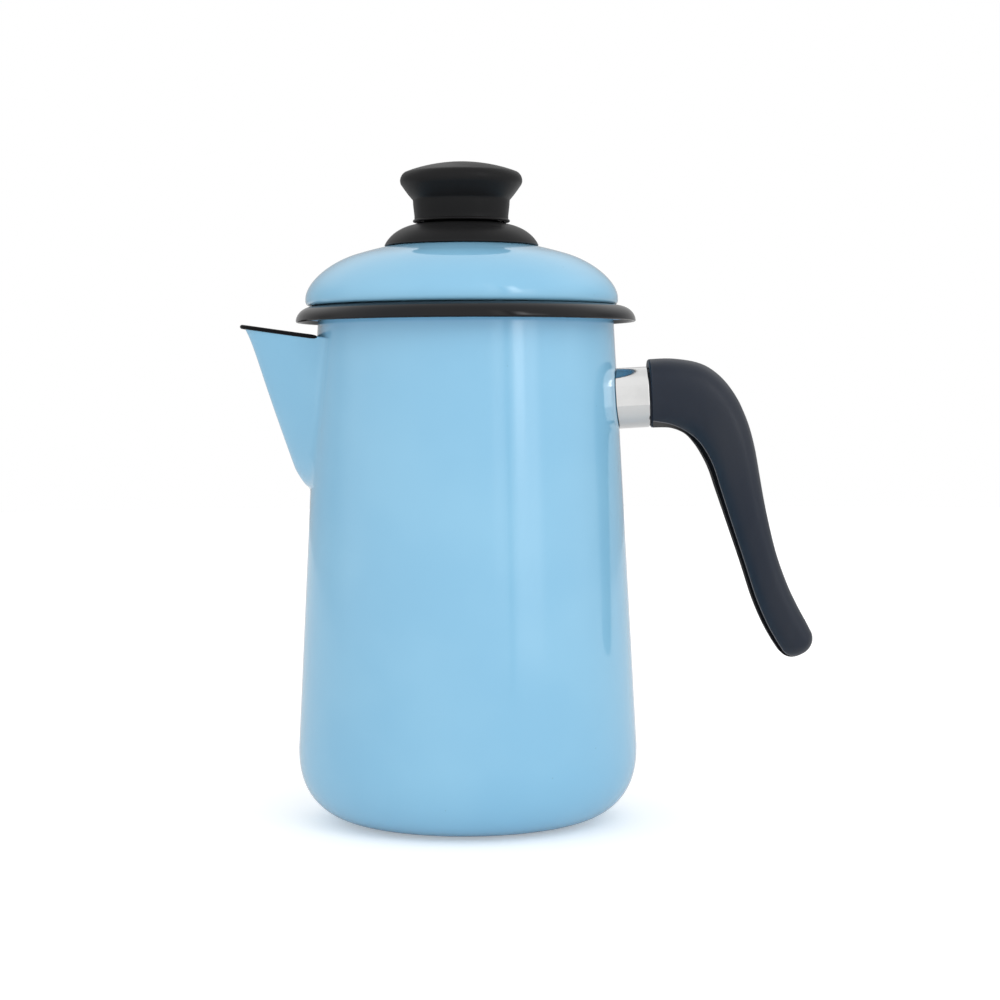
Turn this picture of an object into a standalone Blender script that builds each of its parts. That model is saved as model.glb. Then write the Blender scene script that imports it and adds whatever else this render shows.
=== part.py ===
"""Enamelled steel coffee percolator: a tapered pot with a welded spout, a plastic handle behind a steel
ferrule, a drop-in lid with a two-piece knob, and a lift-out pump, basket and spreader.

Metres, +Z up. The origin is the centre of the flat base, on the surface that the pot stands on. The pot's
axis is Z, the spout points along -X and the handle along +X. Round pieces are turned from an outline of
(radius, height) points.
"""

import math

import bmesh
import bpy
from mathutils import Matrix, Vector

# Driving dimensions
BASE_RADIUS = 0.0646  # largest radius of the pot, just above its rounded bottom corner
POT_HEIGHT = 0.1957  # top of the rolled rim
WALL = 0.0010  # enamelled steel sheet
GAP = 0.0003  # between pieces that touch
STEM_RADIUS = 0.00475
STEM_TOP = 0.2080
BASKET_FLOOR = 0.1160
BASKET_HEIGHT = 0.0530
HANDLE_HEIGHT = 0.1605  # where the ferrule's axis passes through the pot's wall

# Pot
FOOT_RADIUS = BASE_RADIUS - 0.0290
CORNER_HEIGHT = 0.0280
CORNER_SQUARE = 2.4  # 2 is an ellipse, larger is squarer
TAPER = 0.0517  # radius lost for each unit of height
NECK_HEIGHT = POT_HEIGHT - 0.0092
CREST_RADIUS = BASE_RADIUS - 0.0070  # the rim is highest here
RIM_DEPTH = 0.0058  # from the crest down to the rim's free edge
NECK_LEAN = (-0.0003, 0.0055)  # from the neck to the flare's first control point
CREST_LEAN = 0.0014  # from the crest back to the flare's second control point
STRAINER_ROWS = ((0.1460, 3), (0.1550, 4), (0.1640, 5), (0.1730, 4))  # height and count
STRAINER_PITCH = math.radians(8.0)
STRAINER_HOLE = 0.0027

# Spout
SPOUT_FOOT = 0.1274  # where the spout's nose line meets the wall
SPOUT_LIP = 0.1836  # height of the lip's root at the wall
LIP_RISE = 0.18  # slope of the lip, up towards the tip
NOSE_REACH = 0.0066  # reach beyond the wall at NOSE_HEIGHT
NOSE_HEIGHT = 0.1353
NOSE_SLOPE = 0.412  # reach gained for each unit of height
NOSE_ROUND = 0.0080  # height of the nose's rounded foot
ROOT_WIDTH = 0.0168  # half width at the wall, at ROOT_HEIGHT
ROOT_HEIGHT = 0.1400
ROOT_SLOPE = 0.135
ROOT_ROUND = ROOT_HEIGHT - SPOUT_FOOT
LEAST_WIDTH = 0.0008  # of the pointed foot
POUR_LIP = 0.0017  # how far the very tip turns out
POUR_TURN = 24  # how late the tip turns: a power of the rise
NOSE_BLUNT = 0.30  # 0 is a sharp V, large is a round U
SPOUT_ROWS = 12
SPOUT_COLUMNS = 12

# Ferrule, boss and screw, along the ferrule's axis from the pot's axis
FERRULE_TILT = math.atan(TAPER)  # square to the tapered wall
FERRULE_START = 0.0500  # inside the pot, before the wall is cut away
FERRULE_END = 0.0693
FERRULE_SHEET = 0.0008
FERRULE_HALF_HEIGHT = 0.0115
FERRULE_HALF_WIDTH = 0.0120
TENON_LENGTH = 0.0060
TENON_ROOT = 0.0030  # of the tenon, inside the handle
BOSS_RADIUS = 0.0052
SCREW_START = 0.0597
SCREW_RADIUS = 0.0025
SCREW_BORE = SCREW_RADIUS + GAP
HEAD_RADIUS = 0.0045
HEAD_RIM = 0.0016
HEAD_DOME = 0.0014
COUNTERBORE = 0.0055
HEAD_SEAT = 0.0930  # the counterbore's floor
LOCK_WASHER = 0.0012
SLOT_FLOOR = 0.0015  # above the screw head's underside
SLOT_LENGTH = 0.0120
SLOT_WIDTH = 0.0012

# Handle. Stations down it: x, z, downward turn in degrees, half height and half width of the section
HANDLE_STATIONS = (
    (0.0697, 0.1624, -3.0, 0.0130, 0.0128),
    (0.0785, 0.1624, 3.0, 0.0132, 0.0132),
    (0.0872, 0.1600, 16.0, 0.0135, 0.0132),
    (0.0937, 0.1541, 31.0, 0.0127, 0.0130),
    (0.0981, 0.1464, 45.0, 0.0112, 0.0126),
    (0.1011, 0.1382, 58.0, 0.0098, 0.0122),
    (0.1037, 0.1275, 70.0, 0.0086, 0.0116),
    (0.1066, 0.1161, 74.0, 0.0077, 0.0110),
    (0.1112, 0.1000, 72.0, 0.0069, 0.0104),
    (0.1155, 0.0871, 68.5, 0.0071, 0.0102),
    (0.1194, 0.0782, 63.0, 0.0073, 0.0103),
    (0.1228, 0.0719, 60.0, 0.0073, 0.0102),
    (0.1250, 0.0681, 60.0, 0.0071, 0.0098),
)
TIP_LENGTH = 0.0064
TIP_RINGS = 4
TIP_ANGLE = 84.0  # how far the tip closes, of a right angle
EGG = 0.14  # how much wider the section is towards its outer side
SQUARE = 2.5  # 2 is an ellipse, larger is squarer
SECTION_SIDES = 20

# Lid
LID_SHIFT = -0.0015  # the lid has play in the mouth and rests towards the spout
CROWN_SPHERE = 0.1358
CROWN_TOP = POT_HEIGHT + 0.0257
CROWN_EDGE = 0.0390  # where the crown turns into the shoulder
CROWN_LEAN = (0.0110, -0.0029)  # from the crown's edge to the shoulder's first control point
LID_RADIUS = 0.0594
LID_CURL = 0.0026
LID_WIDEST = POT_HEIGHT + GAP + LID_CURL
SHOULDER_LEAN = 0.0063
COLLAR_RADIUS = 0.0533
COLLAR_BEND = 0.0035  # height of the bend from the curl into the collar
COLLAR_LEAN = 0.0030
COLLAR_DROP = 0.0011
COLLAR_FOOT = POT_HEIGHT - 0.0136
SCREW_HOLE = 0.0027

# Knob, skirt and their fastener, which is an M4 screw in a brass insert
KNOB_TOP = 0.2505
KNOB_RADIUS = 0.0235
KNOB_FOOT = 0.2284
KNOB_EDGE = (KNOB_RADIUS - 0.0020, KNOB_TOP - 0.0040)  # where the dome turns into the lip
DOME_LEANS = ((0.0080, KNOB_TOP), (0.0160, KNOB_TOP - 0.0016))
LIP_LEANS = ((KNOB_RADIUS - 0.0004, KNOB_TOP - 0.0044), (KNOB_RADIUS + 0.0004, KNOB_TOP - 0.0070))
LIP_END = (KNOB_RADIUS - 0.0008, KNOB_TOP - 0.0093)
FLARE_LEANS = ((0.0206, 0.2390), (0.0187, 0.2360))
WAIST = (0.0184, 0.2337)
NECK_RADIUS = 0.0179
NECK_CHAMFER = 0.0006
CAVITY_INNER = 0.0075
CAVITY_OUTER = 0.0145
CAVITY_ROOF = 0.2385
INSERT_HOLE_TOP = 0.2400
INSERT_RADIUS = 0.0040
INSERT_BORE = 0.0023
INSERT_TOP = 0.2397
SKIRT_RADIUS = 0.0293
SKIRT_WALL = 0.0022
SKIRT_TOP = KNOB_FOOT - GAP
SKIRT_LEANS = ((0.0276, 0.2228), (0.0230, 0.2266))
SKIRT_SHOULDER = (0.0176, SKIRT_TOP - 0.0001)
SKIRT_ROOF = 0.0010  # from the underside's last point in to the boss's flat roof
SKIRT_BOSS = 0.0080
SPIGOT_INNER = 0.0090
SPIGOT_OUTER = 0.0140
SPIGOT_HEIGHT = 0.0015
SEAL_RADIUS = 0.0080
SEAL_SHEET = 0.0010
WASHER_RADIUS = 0.0070
WASHER_SHEET = 0.0010
M4_RADIUS = 0.0020
M4_TIP = 0.2380
M4_HEAD_RADIUS = 0.0040
M4_HEAD = 0.0026
M4_ROUND = 0.0012
M4_SLOT = 0.0011

# Pump
PUMP_RADIUS = 0.0345
PUMP_SHEET = 0.0008
PUMP_FOOT = WALL + GAP + 0.0002
BELL_LEANS = ((0.0330, 0.0090), (0.0160, 0.0105))
BELL_TOP = (0.0085, 0.0135)
PUMP_COLLAR = STEM_RADIUS + GAP + PUMP_SHEET
PUMP_NECK_LEANS = ((0.0065, 0.0144), (PUMP_COLLAR, 0.0152))
PUMP_NECK = (PUMP_COLLAR, 0.0175)
PUMP_NECK_TOP = 0.0240
NOTCHES = 6
NOTCH_RADIUS = 0.0040
STEM_WALL = 0.00075
STEM_FOOT = 0.0150
STOP_RADIUS = 0.0075
STOP_HEIGHT = 0.0030
TUBE_WALL = 0.0007
TUBE_BORE = STEM_RADIUS + 0.0004
TUBE_FLANGE = 0.0085
TUBE_FLANGE_SHEET = 0.0007
TUBE_HEIGHT = 0.0340

# Basket and spreader
BASKET_RADIUS = 0.0430
BASKET_SHEET = 0.0008
BASKET_FLANGE = 0.0475
BASKET_CORNER = 0.0030
BASKET_DRAFT = 0.0015  # the mouth is this much wider than the floor
LIP_ROUND = 0.0015
SPREADER_DROP = 0.0050
SPREADER_COLLAR = 0.0080
SPREADER_ROUND = 0.0012
SPREADER_PLAY = 0.0006
HOLE_RADIUS = 0.0015
FLOOR_RINGS = ((0.0150, 8), (0.0240, 12), (0.0330, 16))  # radius and count
HOLE_SIDES = 6

SIDES_LARGE = 48
SIDES_MEDIUM = 32
SIDES_SMALL = 16


# Outlines


def wall_radius(height):
    """Outer radius of the pot's straight wall."""
    return BASE_RADIUS - TAPER * (height - CORNER_HEIGHT)


def arc(centre, radii, start, end, count, square=2.0):
    """Points on an ellipse's arc, from start to end in degrees, both ends included. Above 2 it is squarer."""
    points = []
    for i in range(count + 1):
        angle = math.radians(start + (end - start) * i / count)
        across, up = [math.copysign(abs(s) ** (2 / square), s) for s in (math.cos(angle), math.sin(angle))]
        points.append((centre[0] + radii[0] * across, centre[1] + radii[1] * up))
    return points


def bezier(p0, p1, p2, p3, count):
    """Points on a cubic curve, both ends included."""
    points = []
    for i in range(count + 1):
        t = i / count
        s = 1 - t
        weights = (s**3, 3 * s * s * t, 3 * s * t * t, t**3)
        points.append(tuple(sum(w * p[k] for w, p in zip(weights, (p0, p1, p2, p3))) for k in (0, 1)))
    return points


def parallel(points, distance):
    """The outline's line moved sideways, to its left for a positive distance."""
    moved = []
    last = len(points) - 1
    for i, point in enumerate(points):
        here = Vector(point)
        ahead = (Vector(points[min(i + 1, last)]) - here).normalized()
        behind = (here - Vector(points[max(i - 1, 0)])).normalized()
        along = (ahead + behind).normalized()
        reach = distance / along.dot(behind if i == last else ahead)
        moved.append((here.x - along.y * reach, here.y + along.x * reach))
    return moved


def sheet(points, thickness):
    """A closed outline: the line of one face, then the other face, back to the start."""
    return points + parallel(points, thickness)[::-1]


def washer_outline(inner, outer, low, high):
    return [(inner, low), (outer, low), (outer, high), (inner, high)]


# Making objects


def material(name, colour, roughness, metallic=0.0):
    made = bpy.data.materials.new(name)
    made.use_nodes = True
    shader = made.node_tree.nodes["Principled BSDF"]
    shader.inputs["Base Color"].default_value = (*colour, 1.0)
    shader.inputs["Roughness"].default_value = roughness
    shader.inputs["Metallic"].default_value = metallic
    made.diffuse_color = (*colour, 1.0)
    return made


def finish_object(name, bm, surface):
    """Closes a bmesh into a named object with its material and smooth rounds."""
    bmesh.ops.remove_doubles(bm, verts=bm.verts, dist=1e-7)
    bmesh.ops.recalc_face_normals(bm, faces=bm.faces)
    mesh = bpy.data.meshes.new(name)
    bm.to_mesh(mesh)
    bm.free()
    mesh.shade_smooth()
    mesh.set_sharp_from_angle(angle=math.radians(35))
    if surface:
        mesh.materials.append(surface)
    made = bpy.data.objects.new(name, mesh)
    bpy.context.scene.collection.objects.link(made)
    return made


def turned(name, outline, surface, sides):
    """A closed outline spun round the Z axis."""
    bm = bmesh.new()
    corners = [bm.verts.new((radius, 0, height)) for radius, height in outline]
    edges = [bm.edges.new((a, b)) for a, b in zip(corners, corners[1:] + corners[:1])]
    bmesh.ops.spin(
        bm, geom=corners + edges, cent=(0, 0, 0), axis=(0, 0, 1), angle=math.tau, steps=sides, use_merge=True
    )
    return finish_object(name, bm, surface)


def skinned(name, loops, surface):
    """A solid through equal closed loops of points, capped at both ends."""
    bm = bmesh.new()
    rings = [[bm.verts.new(point) for point in loop] for loop in loops]
    for low, high in zip(rings, rings[1:]):
        for i in range(len(low)):
            j = (i + 1) % len(low)
            bm.faces.new((low[i], low[j], high[j], high[i]))
    bm.faces.new(rings[0][::-1])
    bm.faces.new(rings[-1])
    return finish_object(name, bm, surface)


def rod(name, radius, low, high, surface, sides=SIDES_SMALL):
    """A plain cylinder on the Z axis."""
    return turned(name, [(0, low), (radius, low), (radius, high), (0, high)], surface, sides)


def placed(piece, frame):
    piece.matrix_world = frame
    return piece


def use_cutter(piece, cutter, operation="DIFFERENCE"):
    """Takes the cutter's shape out of the piece, or joins it to the piece with UNION."""
    cutter.hide_render = True
    cutter.display_type = "WIRE"
    boolean = piece.modifiers.new(cutter.name, "BOOLEAN")
    boolean.operation = operation
    boolean.object = cutter


def joined_cutter(name, parts):
    """One cutter object made of several separate closed shapes."""
    bm = bmesh.new()
    for part in parts:
        mesh = part.data.copy()
        mesh.transform(part.matrix_world)
        bm.from_mesh(mesh)
        bpy.data.objects.remove(part)
    return finish_object(name, bm, None)


def perforate(piece, low, high):
    """Rings of round holes through a level plate."""
    drills = []
    for ring_radius, count in FLOOR_RINGS:
        for i in range(count):
            angle = math.tau * (i + 0.5) / count
            spot = Vector((math.cos(angle), math.sin(angle), 0)) * ring_radius
            drill = rod("drill", HOLE_RADIUS, low, high, None, HOLE_SIDES)
            drills.append(placed(drill, Matrix.Translation(spot)))
    use_cutter(piece, joined_cutter(piece.name + "_drills", drills))


def screwdriver_slot(name, low, high):
    """A bar across a screw's head, on the Z axis."""
    x, y = SLOT_LENGTH / 2, SLOT_WIDTH / 2
    corners = ((-x, -y), (x, -y), (x, y), (-x, y))
    return skinned(name, [[(*corner, z) for corner in corners] for z in (low, high)], None)


# Pot: a pressed base, a rolled and seamed wall and a rolled rim, welded end to end


def make_pot(surface):
    corner_radii = (BASE_RADIUS - FOOT_RADIUS, CORNER_HEIGHT)
    corner = arc((FOOT_RADIUS, CORNER_HEIGHT), corner_radii, -90, 0, 7, CORNER_SQUARE)
    turned("pot_base", sheet([(0, 0)] + corner, WALL), surface, SIDES_LARGE)

    wall = [(wall_radius(height), height) for height in (CORNER_HEIGHT + 2 * GAP, NECK_HEIGHT - GAP)]
    pot_wall = turned("pot_wall", sheet(wall, WALL), surface, SIDES_LARGE)
    use_cutter(pot_wall, strainer_drills())

    neck = Vector((wall_radius(NECK_HEIGHT), NECK_HEIGHT))
    crest = (CREST_RADIUS, POT_HEIGHT - WALL)
    flare = bezier(neck, neck + Vector(NECK_LEAN), (crest[0] - CREST_LEAN, crest[1]), crest, 4)
    roll_radii = (BASE_RADIUS - WALL - CREST_RADIUS, RIM_DEPTH - WALL)
    roll = arc((CREST_RADIUS, POT_HEIGHT - RIM_DEPTH), roll_radii, 90, 0, 4)
    turned("pot_rim", sheet(flare + roll[1:], WALL), surface, SIDES_LARGE)


def strainer_drills():
    """Cutters for the holes in the pot's wall behind the spout, each row centred on the spout."""
    drills = []
    inside, outside = BASE_RADIUS - 0.025, BASE_RADIUS
    for height, count in STRAINER_ROWS:
        for i in range(count):
            turn = math.pi + (i - (count - 1) / 2) * STRAINER_PITCH
            lie = Matrix.Rotation(turn, 4, "Z") @ Matrix.Rotation(math.radians(90), 4, "Y")
            drill = rod("drill", STRAINER_HOLE, inside, outside, None, sides=8)
            drills.append(placed(drill, Matrix.Translation((0, 0, height)) @ lie))
    return joined_cutter("strainer_drills", drills)


# Spout


def rounded_foot(height, top, depth):
    """1 above top, falling along a quarter ellipse to 0 at top - depth."""
    drop = min(max((top - height) / depth, 0), 1)
    return math.sqrt(1 - drop * drop)


def spout_point(side, rise, inset):
    """A point on the spout. side runs from -1 to 1 across it, rise from 0 at its foot to 1 at its lip."""
    height = SPOUT_FOOT + inset + (SPOUT_LIP - SPOUT_FOOT - inset) * rise**1.6
    nose_foot = SPOUT_FOOT + inset + NOSE_ROUND
    reach = NOSE_REACH + NOSE_SLOPE * (height - NOSE_HEIGHT) - inset
    reach *= rounded_foot(height, nose_foot, NOSE_ROUND)
    width = ROOT_WIDTH + ROOT_SLOPE * max(height - ROOT_HEIGHT, 0) - inset
    width *= rounded_foot(height, ROOT_HEIGHT, ROOT_ROUND - inset)
    y = side * max(width, LEAST_WIDTH)
    wall_x = math.sqrt((wall_radius(height) + GAP) ** 2 - y**2)
    blunt = math.sqrt(1 + NOSE_BLUNT**2)
    vee = (blunt - math.sqrt(side**2 + NOSE_BLUNT**2)) / (blunt - NOSE_BLUNT)
    out = max(reach, 0) * vee + POUR_LIP * rise**POUR_TURN * vee**3
    return Vector((-(wall_x + out), y, height + LIP_RISE * out * rise**4))


def make_spout(surface):
    """Two lofted faces, outside and inside, sewn together along the lip, the foot and the weld line."""
    bm = bmesh.new()
    faces = []
    for inset in (0.0, WALL):
        grid = []
        for row in range(SPOUT_ROWS + 1):
            sides = [2 * i / SPOUT_COLUMNS - 1 for i in range(SPOUT_COLUMNS + 1)]
            grid.append([bm.verts.new(spout_point(side, row / SPOUT_ROWS, inset)) for side in sides])
        faces.append(grid)
    for grid in faces:
        for low, high in zip(grid, grid[1:]):
            for i in range(SPOUT_COLUMNS):
                bm.faces.new((low[i], low[i + 1], high[i + 1], high[i]))
    outside, inside = faces
    for row in (0, SPOUT_ROWS):
        for i in range(SPOUT_COLUMNS):
            bm.faces.new((outside[row][i], outside[row][i + 1], inside[row][i + 1], inside[row][i]))
    for row in range(SPOUT_ROWS):
        for i in (0, SPOUT_COLUMNS):
            bm.faces.new((outside[row][i], outside[row + 1][i], inside[row + 1][i], inside[row][i]))
    return finish_object("spout", bm, surface)


# Handle


def ferrule_frame():
    """The ferrule's axis as a matrix whose +Z points out along it, starting on the pot's axis."""
    root = Vector((wall_radius(HANDLE_HEIGHT), 0, HANDLE_HEIGHT))
    out = Vector((math.cos(FERRULE_TILT), 0, math.sin(FERRULE_TILT)))
    start = root - out * root.x / math.cos(FERRULE_TILT)
    return Matrix.Translation(start) @ Matrix.Rotation(math.radians(90) - FERRULE_TILT, 4, "Y")


def egg_section(half_height, half_width):
    """Points round a section: (out, across). Out is towards the handle's outer side, where it is wider."""
    points = []
    for i in range(SECTION_SIDES):
        angle = math.tau * i / SECTION_SIDES
        c, s = math.cos(angle), math.sin(angle)
        out = math.copysign(abs(c) ** (2 / SQUARE), c)
        across = math.copysign(abs(s) ** (2 / SQUARE), s)
        points.append((out * half_height, across * half_width * (1 + EGG * out)))
    return points


def egg_bar(name, inset, low, high, surface):
    """The ferrule's section, less an inset, as a bar on the Z axis. The frame turns its -X side up."""
    section = egg_section(FERRULE_HALF_HEIGHT - inset, FERRULE_HALF_WIDTH - inset)
    return skinned(name, [[(-out, across, z) for out, across in section] for z in (low, high)], surface)


def handle_sections():
    """Closed loops of points down the handle, closing round its tip."""
    rings = [(*station, 1.0, 0.0) for station in HANDLE_STATIONS]
    for i in range(1, TIP_RINGS + 1):
        angle = math.radians(TIP_ANGLE * i / TIP_RINGS)
        rings.append((*HANDLE_STATIONS[-1], math.cos(angle), TIP_LENGTH * math.sin(angle)))
    loops = []
    for x, z, turn, half_height, half_width, shrink, ahead in rings:
        angle = math.radians(turn)
        along = Vector((math.cos(angle), 0, -math.sin(angle)))
        outward = Vector((math.sin(angle), 0, math.cos(angle)))
        centre = Vector((x, 0, z)) + along * ahead
        section = egg_section(half_height * shrink, half_width * shrink)
        loops.append([centre + outward * out + Vector((0, across, 0)) for out, across in section])
    return loops


def make_handle(steel, black):
    frame = ferrule_frame()
    low, high = SPOUT_FOOT - 0.03, SPOUT_LIP
    wall = [(0, low), (wall_radius(low) + GAP, low), (wall_radius(high) + GAP, high), (0, high)]
    wall_cutter = turned("wall_cutter", wall, None, SIDES_LARGE)
    beyond = HANDLE_STATIONS[-1][0]

    ferrule = placed(egg_bar("ferrule", 0, FERRULE_START, FERRULE_END, steel), frame)
    use_cutter(ferrule, placed(egg_bar("ferrule_bore", FERRULE_SHEET, 0.040, 0.080, None), frame))
    use_cutter(ferrule, wall_cutter)

    tenon_end = FERRULE_END - TENON_LENGTH
    boss = placed(rod("handle_boss", BOSS_RADIUS, FERRULE_START, tenon_end - GAP, steel), frame)
    use_cutter(boss, wall_cutter)
    use_cutter(boss, placed(rod("boss_bore", SCREW_BORE, SCREW_START - 2 * GAP, beyond, None), frame))

    handle = skinned("handle", handle_sections(), black)
    tenon = egg_bar("tenon", FERRULE_SHEET + GAP, tenon_end, FERRULE_END + TENON_ROOT, None)
    use_cutter(handle, placed(tenon, frame), "UNION")
    use_cutter(handle, placed(rod("screw_bore", SCREW_BORE, FERRULE_START, beyond, None), frame))
    use_cutter(handle, placed(rod("counterbore", COUNTERBORE, HEAD_SEAT, beyond, None), frame))

    washer_low = HEAD_SEAT + GAP
    washer_top = washer_low + LOCK_WASHER
    washer = washer_outline(SCREW_BORE, HEAD_RADIUS, washer_low, washer_top)
    placed(turned("handle_lock_washer", washer, steel, SIDES_SMALL), frame)

    head_low = washer_top + GAP
    dome = arc((0, head_low + HEAD_RIM), (HEAD_RADIUS, HEAD_DOME), 0, 90, 3)
    shank = [(0, SCREW_START), (SCREW_RADIUS, SCREW_START), (SCREW_RADIUS, head_low), (HEAD_RADIUS, head_low)]
    screw = placed(turned("handle_screw", shank + dome, steel, SIDES_SMALL), frame)
    slot = screwdriver_slot("handle_screw_slot", head_low + SLOT_FLOOR, head_low + SLOT_LENGTH)
    use_cutter(screw, placed(slot, frame))


# Lid and knob


def crown_height(radius):
    """Height of the lid's outer face near its centre, a shallow sphere."""
    return CROWN_TOP - CROWN_SPHERE + math.sqrt(CROWN_SPHERE**2 - radius**2)


def lid_outline():
    """Outer face from the screw hole over the shoulder, round the curl, down the collar, then the inside."""
    crown = [(r, crown_height(r)) for r in (SCREW_HOLE, CROWN_EDGE * 0.38, CROWN_EDGE * 0.72, CROWN_EDGE)]
    widest = (LID_RADIUS, LID_WIDEST)
    start = Vector(crown[-1])
    shoulder = bezier(start, start + Vector(CROWN_LEAN), (LID_RADIUS, LID_WIDEST + SHOULDER_LEAN), widest, 5)
    curl = arc((LID_RADIUS - LID_CURL, LID_WIDEST), (LID_CURL, LID_CURL), 0, -90, 3)
    seat = curl[-1]
    collar_top = (COLLAR_RADIUS, seat[1] - COLLAR_BEND)
    leans = ((seat[0] - COLLAR_LEAN, seat[1]), (COLLAR_RADIUS, seat[1] - COLLAR_DROP))
    collar = bezier(seat, *leans, collar_top, 3)
    return sheet(crown + shoulder[1:] + curl[1:] + collar[1:] + [(COLLAR_RADIUS, COLLAR_FOOT)], -WALL)


def knob_outline():
    """Over the shallow dome, in to the neck, and round the hollow underside to the insert's hole."""
    dome = bezier((0, KNOB_TOP), *DOME_LEANS, KNOB_EDGE, 4)
    lip = bezier(KNOB_EDGE, *LIP_LEANS, LIP_END, 4)
    flare = bezier(LIP_END, *FLARE_LEANS, WAIST, 4)
    foot = [(NECK_RADIUS, KNOB_FOOT + NECK_CHAMFER), (NECK_RADIUS - NECK_CHAMFER, KNOB_FOOT)]
    cavity = [(CAVITY_OUTER, KNOB_FOOT), (CAVITY_OUTER, CAVITY_ROOF)]
    cavity += [(CAVITY_INNER, CAVITY_ROOF), (CAVITY_INNER, KNOB_FOOT)]
    hole = INSERT_RADIUS + GAP
    socket = [(hole, KNOB_FOOT), (hole, INSERT_HOLE_TOP), (0, INSERT_HOLE_TOP)]
    return dome + lip[1:] + flare[1:] + foot + cavity + socket


def skirt_outline():
    """Underside from the screw hole over the boss and hollow to the rim, then the outside to the spigot."""
    rim = (SKIRT_RADIUS, crown_height(SKIRT_RADIUS) + GAP)
    outside = bezier(rim, *SKIRT_LEANS, SKIRT_SHOULDER, 4)
    underside = [(r, z) for r, z in parallel(outside, SKIRT_WALL) if z > rim[1]]
    boss_foot, roof = CROWN_TOP + GAP, SKIRT_TOP - SKIRT_WALL
    boss = [(SCREW_HOLE, boss_foot), (SKIRT_BOSS, boss_foot), (SKIRT_BOSS, roof)]
    boss.append((underside[-1][0] - SKIRT_ROOF, roof))
    inner = SKIRT_RADIUS - SKIRT_WALL
    inner_rim = [(inner, crown_height(inner) + GAP)]
    spigot_top = SKIRT_TOP + SPIGOT_HEIGHT
    spigot = [(SPIGOT_OUTER, SKIRT_TOP), (SPIGOT_OUTER, spigot_top), (SPIGOT_INNER, spigot_top)]
    spigot += [(SPIGOT_INNER, SKIRT_TOP), (SCREW_HOLE, SKIRT_TOP)]
    return boss + underside[::-1] + inner_rim + outside + spigot


def make_lid(enamel, black, steel, brass, silicone):
    """The lid and what is screwed to it, all held by an empty on the lid's own axis."""
    axis = bpy.data.objects.new("lid_axis", None)
    bpy.context.scene.collection.objects.link(axis)
    seal_low = crown_height(SEAL_RADIUS) - WALL - GAP - SEAL_SHEET
    washer_low = seal_low - GAP - WASHER_SHEET
    insert = washer_outline(INSERT_BORE, INSERT_RADIUS, KNOB_FOOT, INSERT_TOP)
    seal = washer_outline(INSERT_BORE, SEAL_RADIUS, seal_low, seal_low + SEAL_SHEET)
    washer = washer_outline(INSERT_BORE, WASHER_RADIUS, washer_low, washer_low + WASHER_SHEET)

    head_top = washer_low - GAP
    head_low = head_top - M4_HEAD
    head = arc((0, head_low + M4_ROUND), (M4_HEAD_RADIUS, M4_ROUND), -90, 0, 3)
    shank = [(M4_HEAD_RADIUS, head_top), (M4_RADIUS, head_top), (M4_RADIUS, M4_TIP), (0, M4_TIP)]
    screw = turned("knob_screw", head + shank, steel, SIDES_SMALL)
    slot = screwdriver_slot("knob_screw_slot", head_low - SLOT_WIDTH, head_low + M4_SLOT)
    use_cutter(screw, slot)

    pieces = [
        turned("lid", lid_outline(), enamel, SIDES_LARGE),
        turned("knob", knob_outline(), black, SIDES_MEDIUM),
        turned("knob_skirt", skirt_outline(), black, SIDES_MEDIUM),
        turned("knob_insert", insert, brass, SIDES_SMALL),
        turned("knob_seal", seal, silicone, SIDES_SMALL),
        turned("knob_washer", washer, steel, SIDES_SMALL),
        screw,
        slot,
    ]
    for piece in pieces:
        piece.parent = axis
    axis.location.x = LID_SHIFT


# Pump, basket and spreader


def make_pump(aluminium):
    bell = bezier((PUMP_RADIUS, PUMP_FOOT), *BELL_LEANS, BELL_TOP, 5)
    neck = bezier(BELL_TOP, *PUMP_NECK_LEANS, PUMP_NECK, 2)
    outline = sheet(bell + neck[1:] + [(PUMP_COLLAR, PUMP_NECK_TOP)], PUMP_SHEET)
    pump_base = turned("pump_base", outline, aluminium, SIDES_MEDIUM)
    for i in range(NOTCHES // 2):
        turn = Matrix.Rotation(math.tau * (i + 0.5) / NOTCHES, 4, "Z")
        lie = turn @ Matrix.Rotation(math.radians(90), 4, "Y")
        arch = rod(f"arch_{i}", NOTCH_RADIUS, -BASKET_RADIUS, BASKET_RADIUS, None, sides=10)
        use_cutter(pump_base, placed(arch, lie))

    stem = washer_outline(STEM_RADIUS - STEM_WALL, STEM_RADIUS, STEM_FOOT, STEM_TOP)
    turned("pump_stem", stem, aluminium, SIDES_SMALL)
    stop_top = BASKET_FLOOR - 2 * GAP - TUBE_FLANGE_SHEET
    stop = washer_outline(STEM_RADIUS + GAP, STOP_RADIUS, stop_top - STOP_HEIGHT, stop_top)
    turned("basket_stop", stop, aluminium, SIDES_SMALL)


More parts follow.
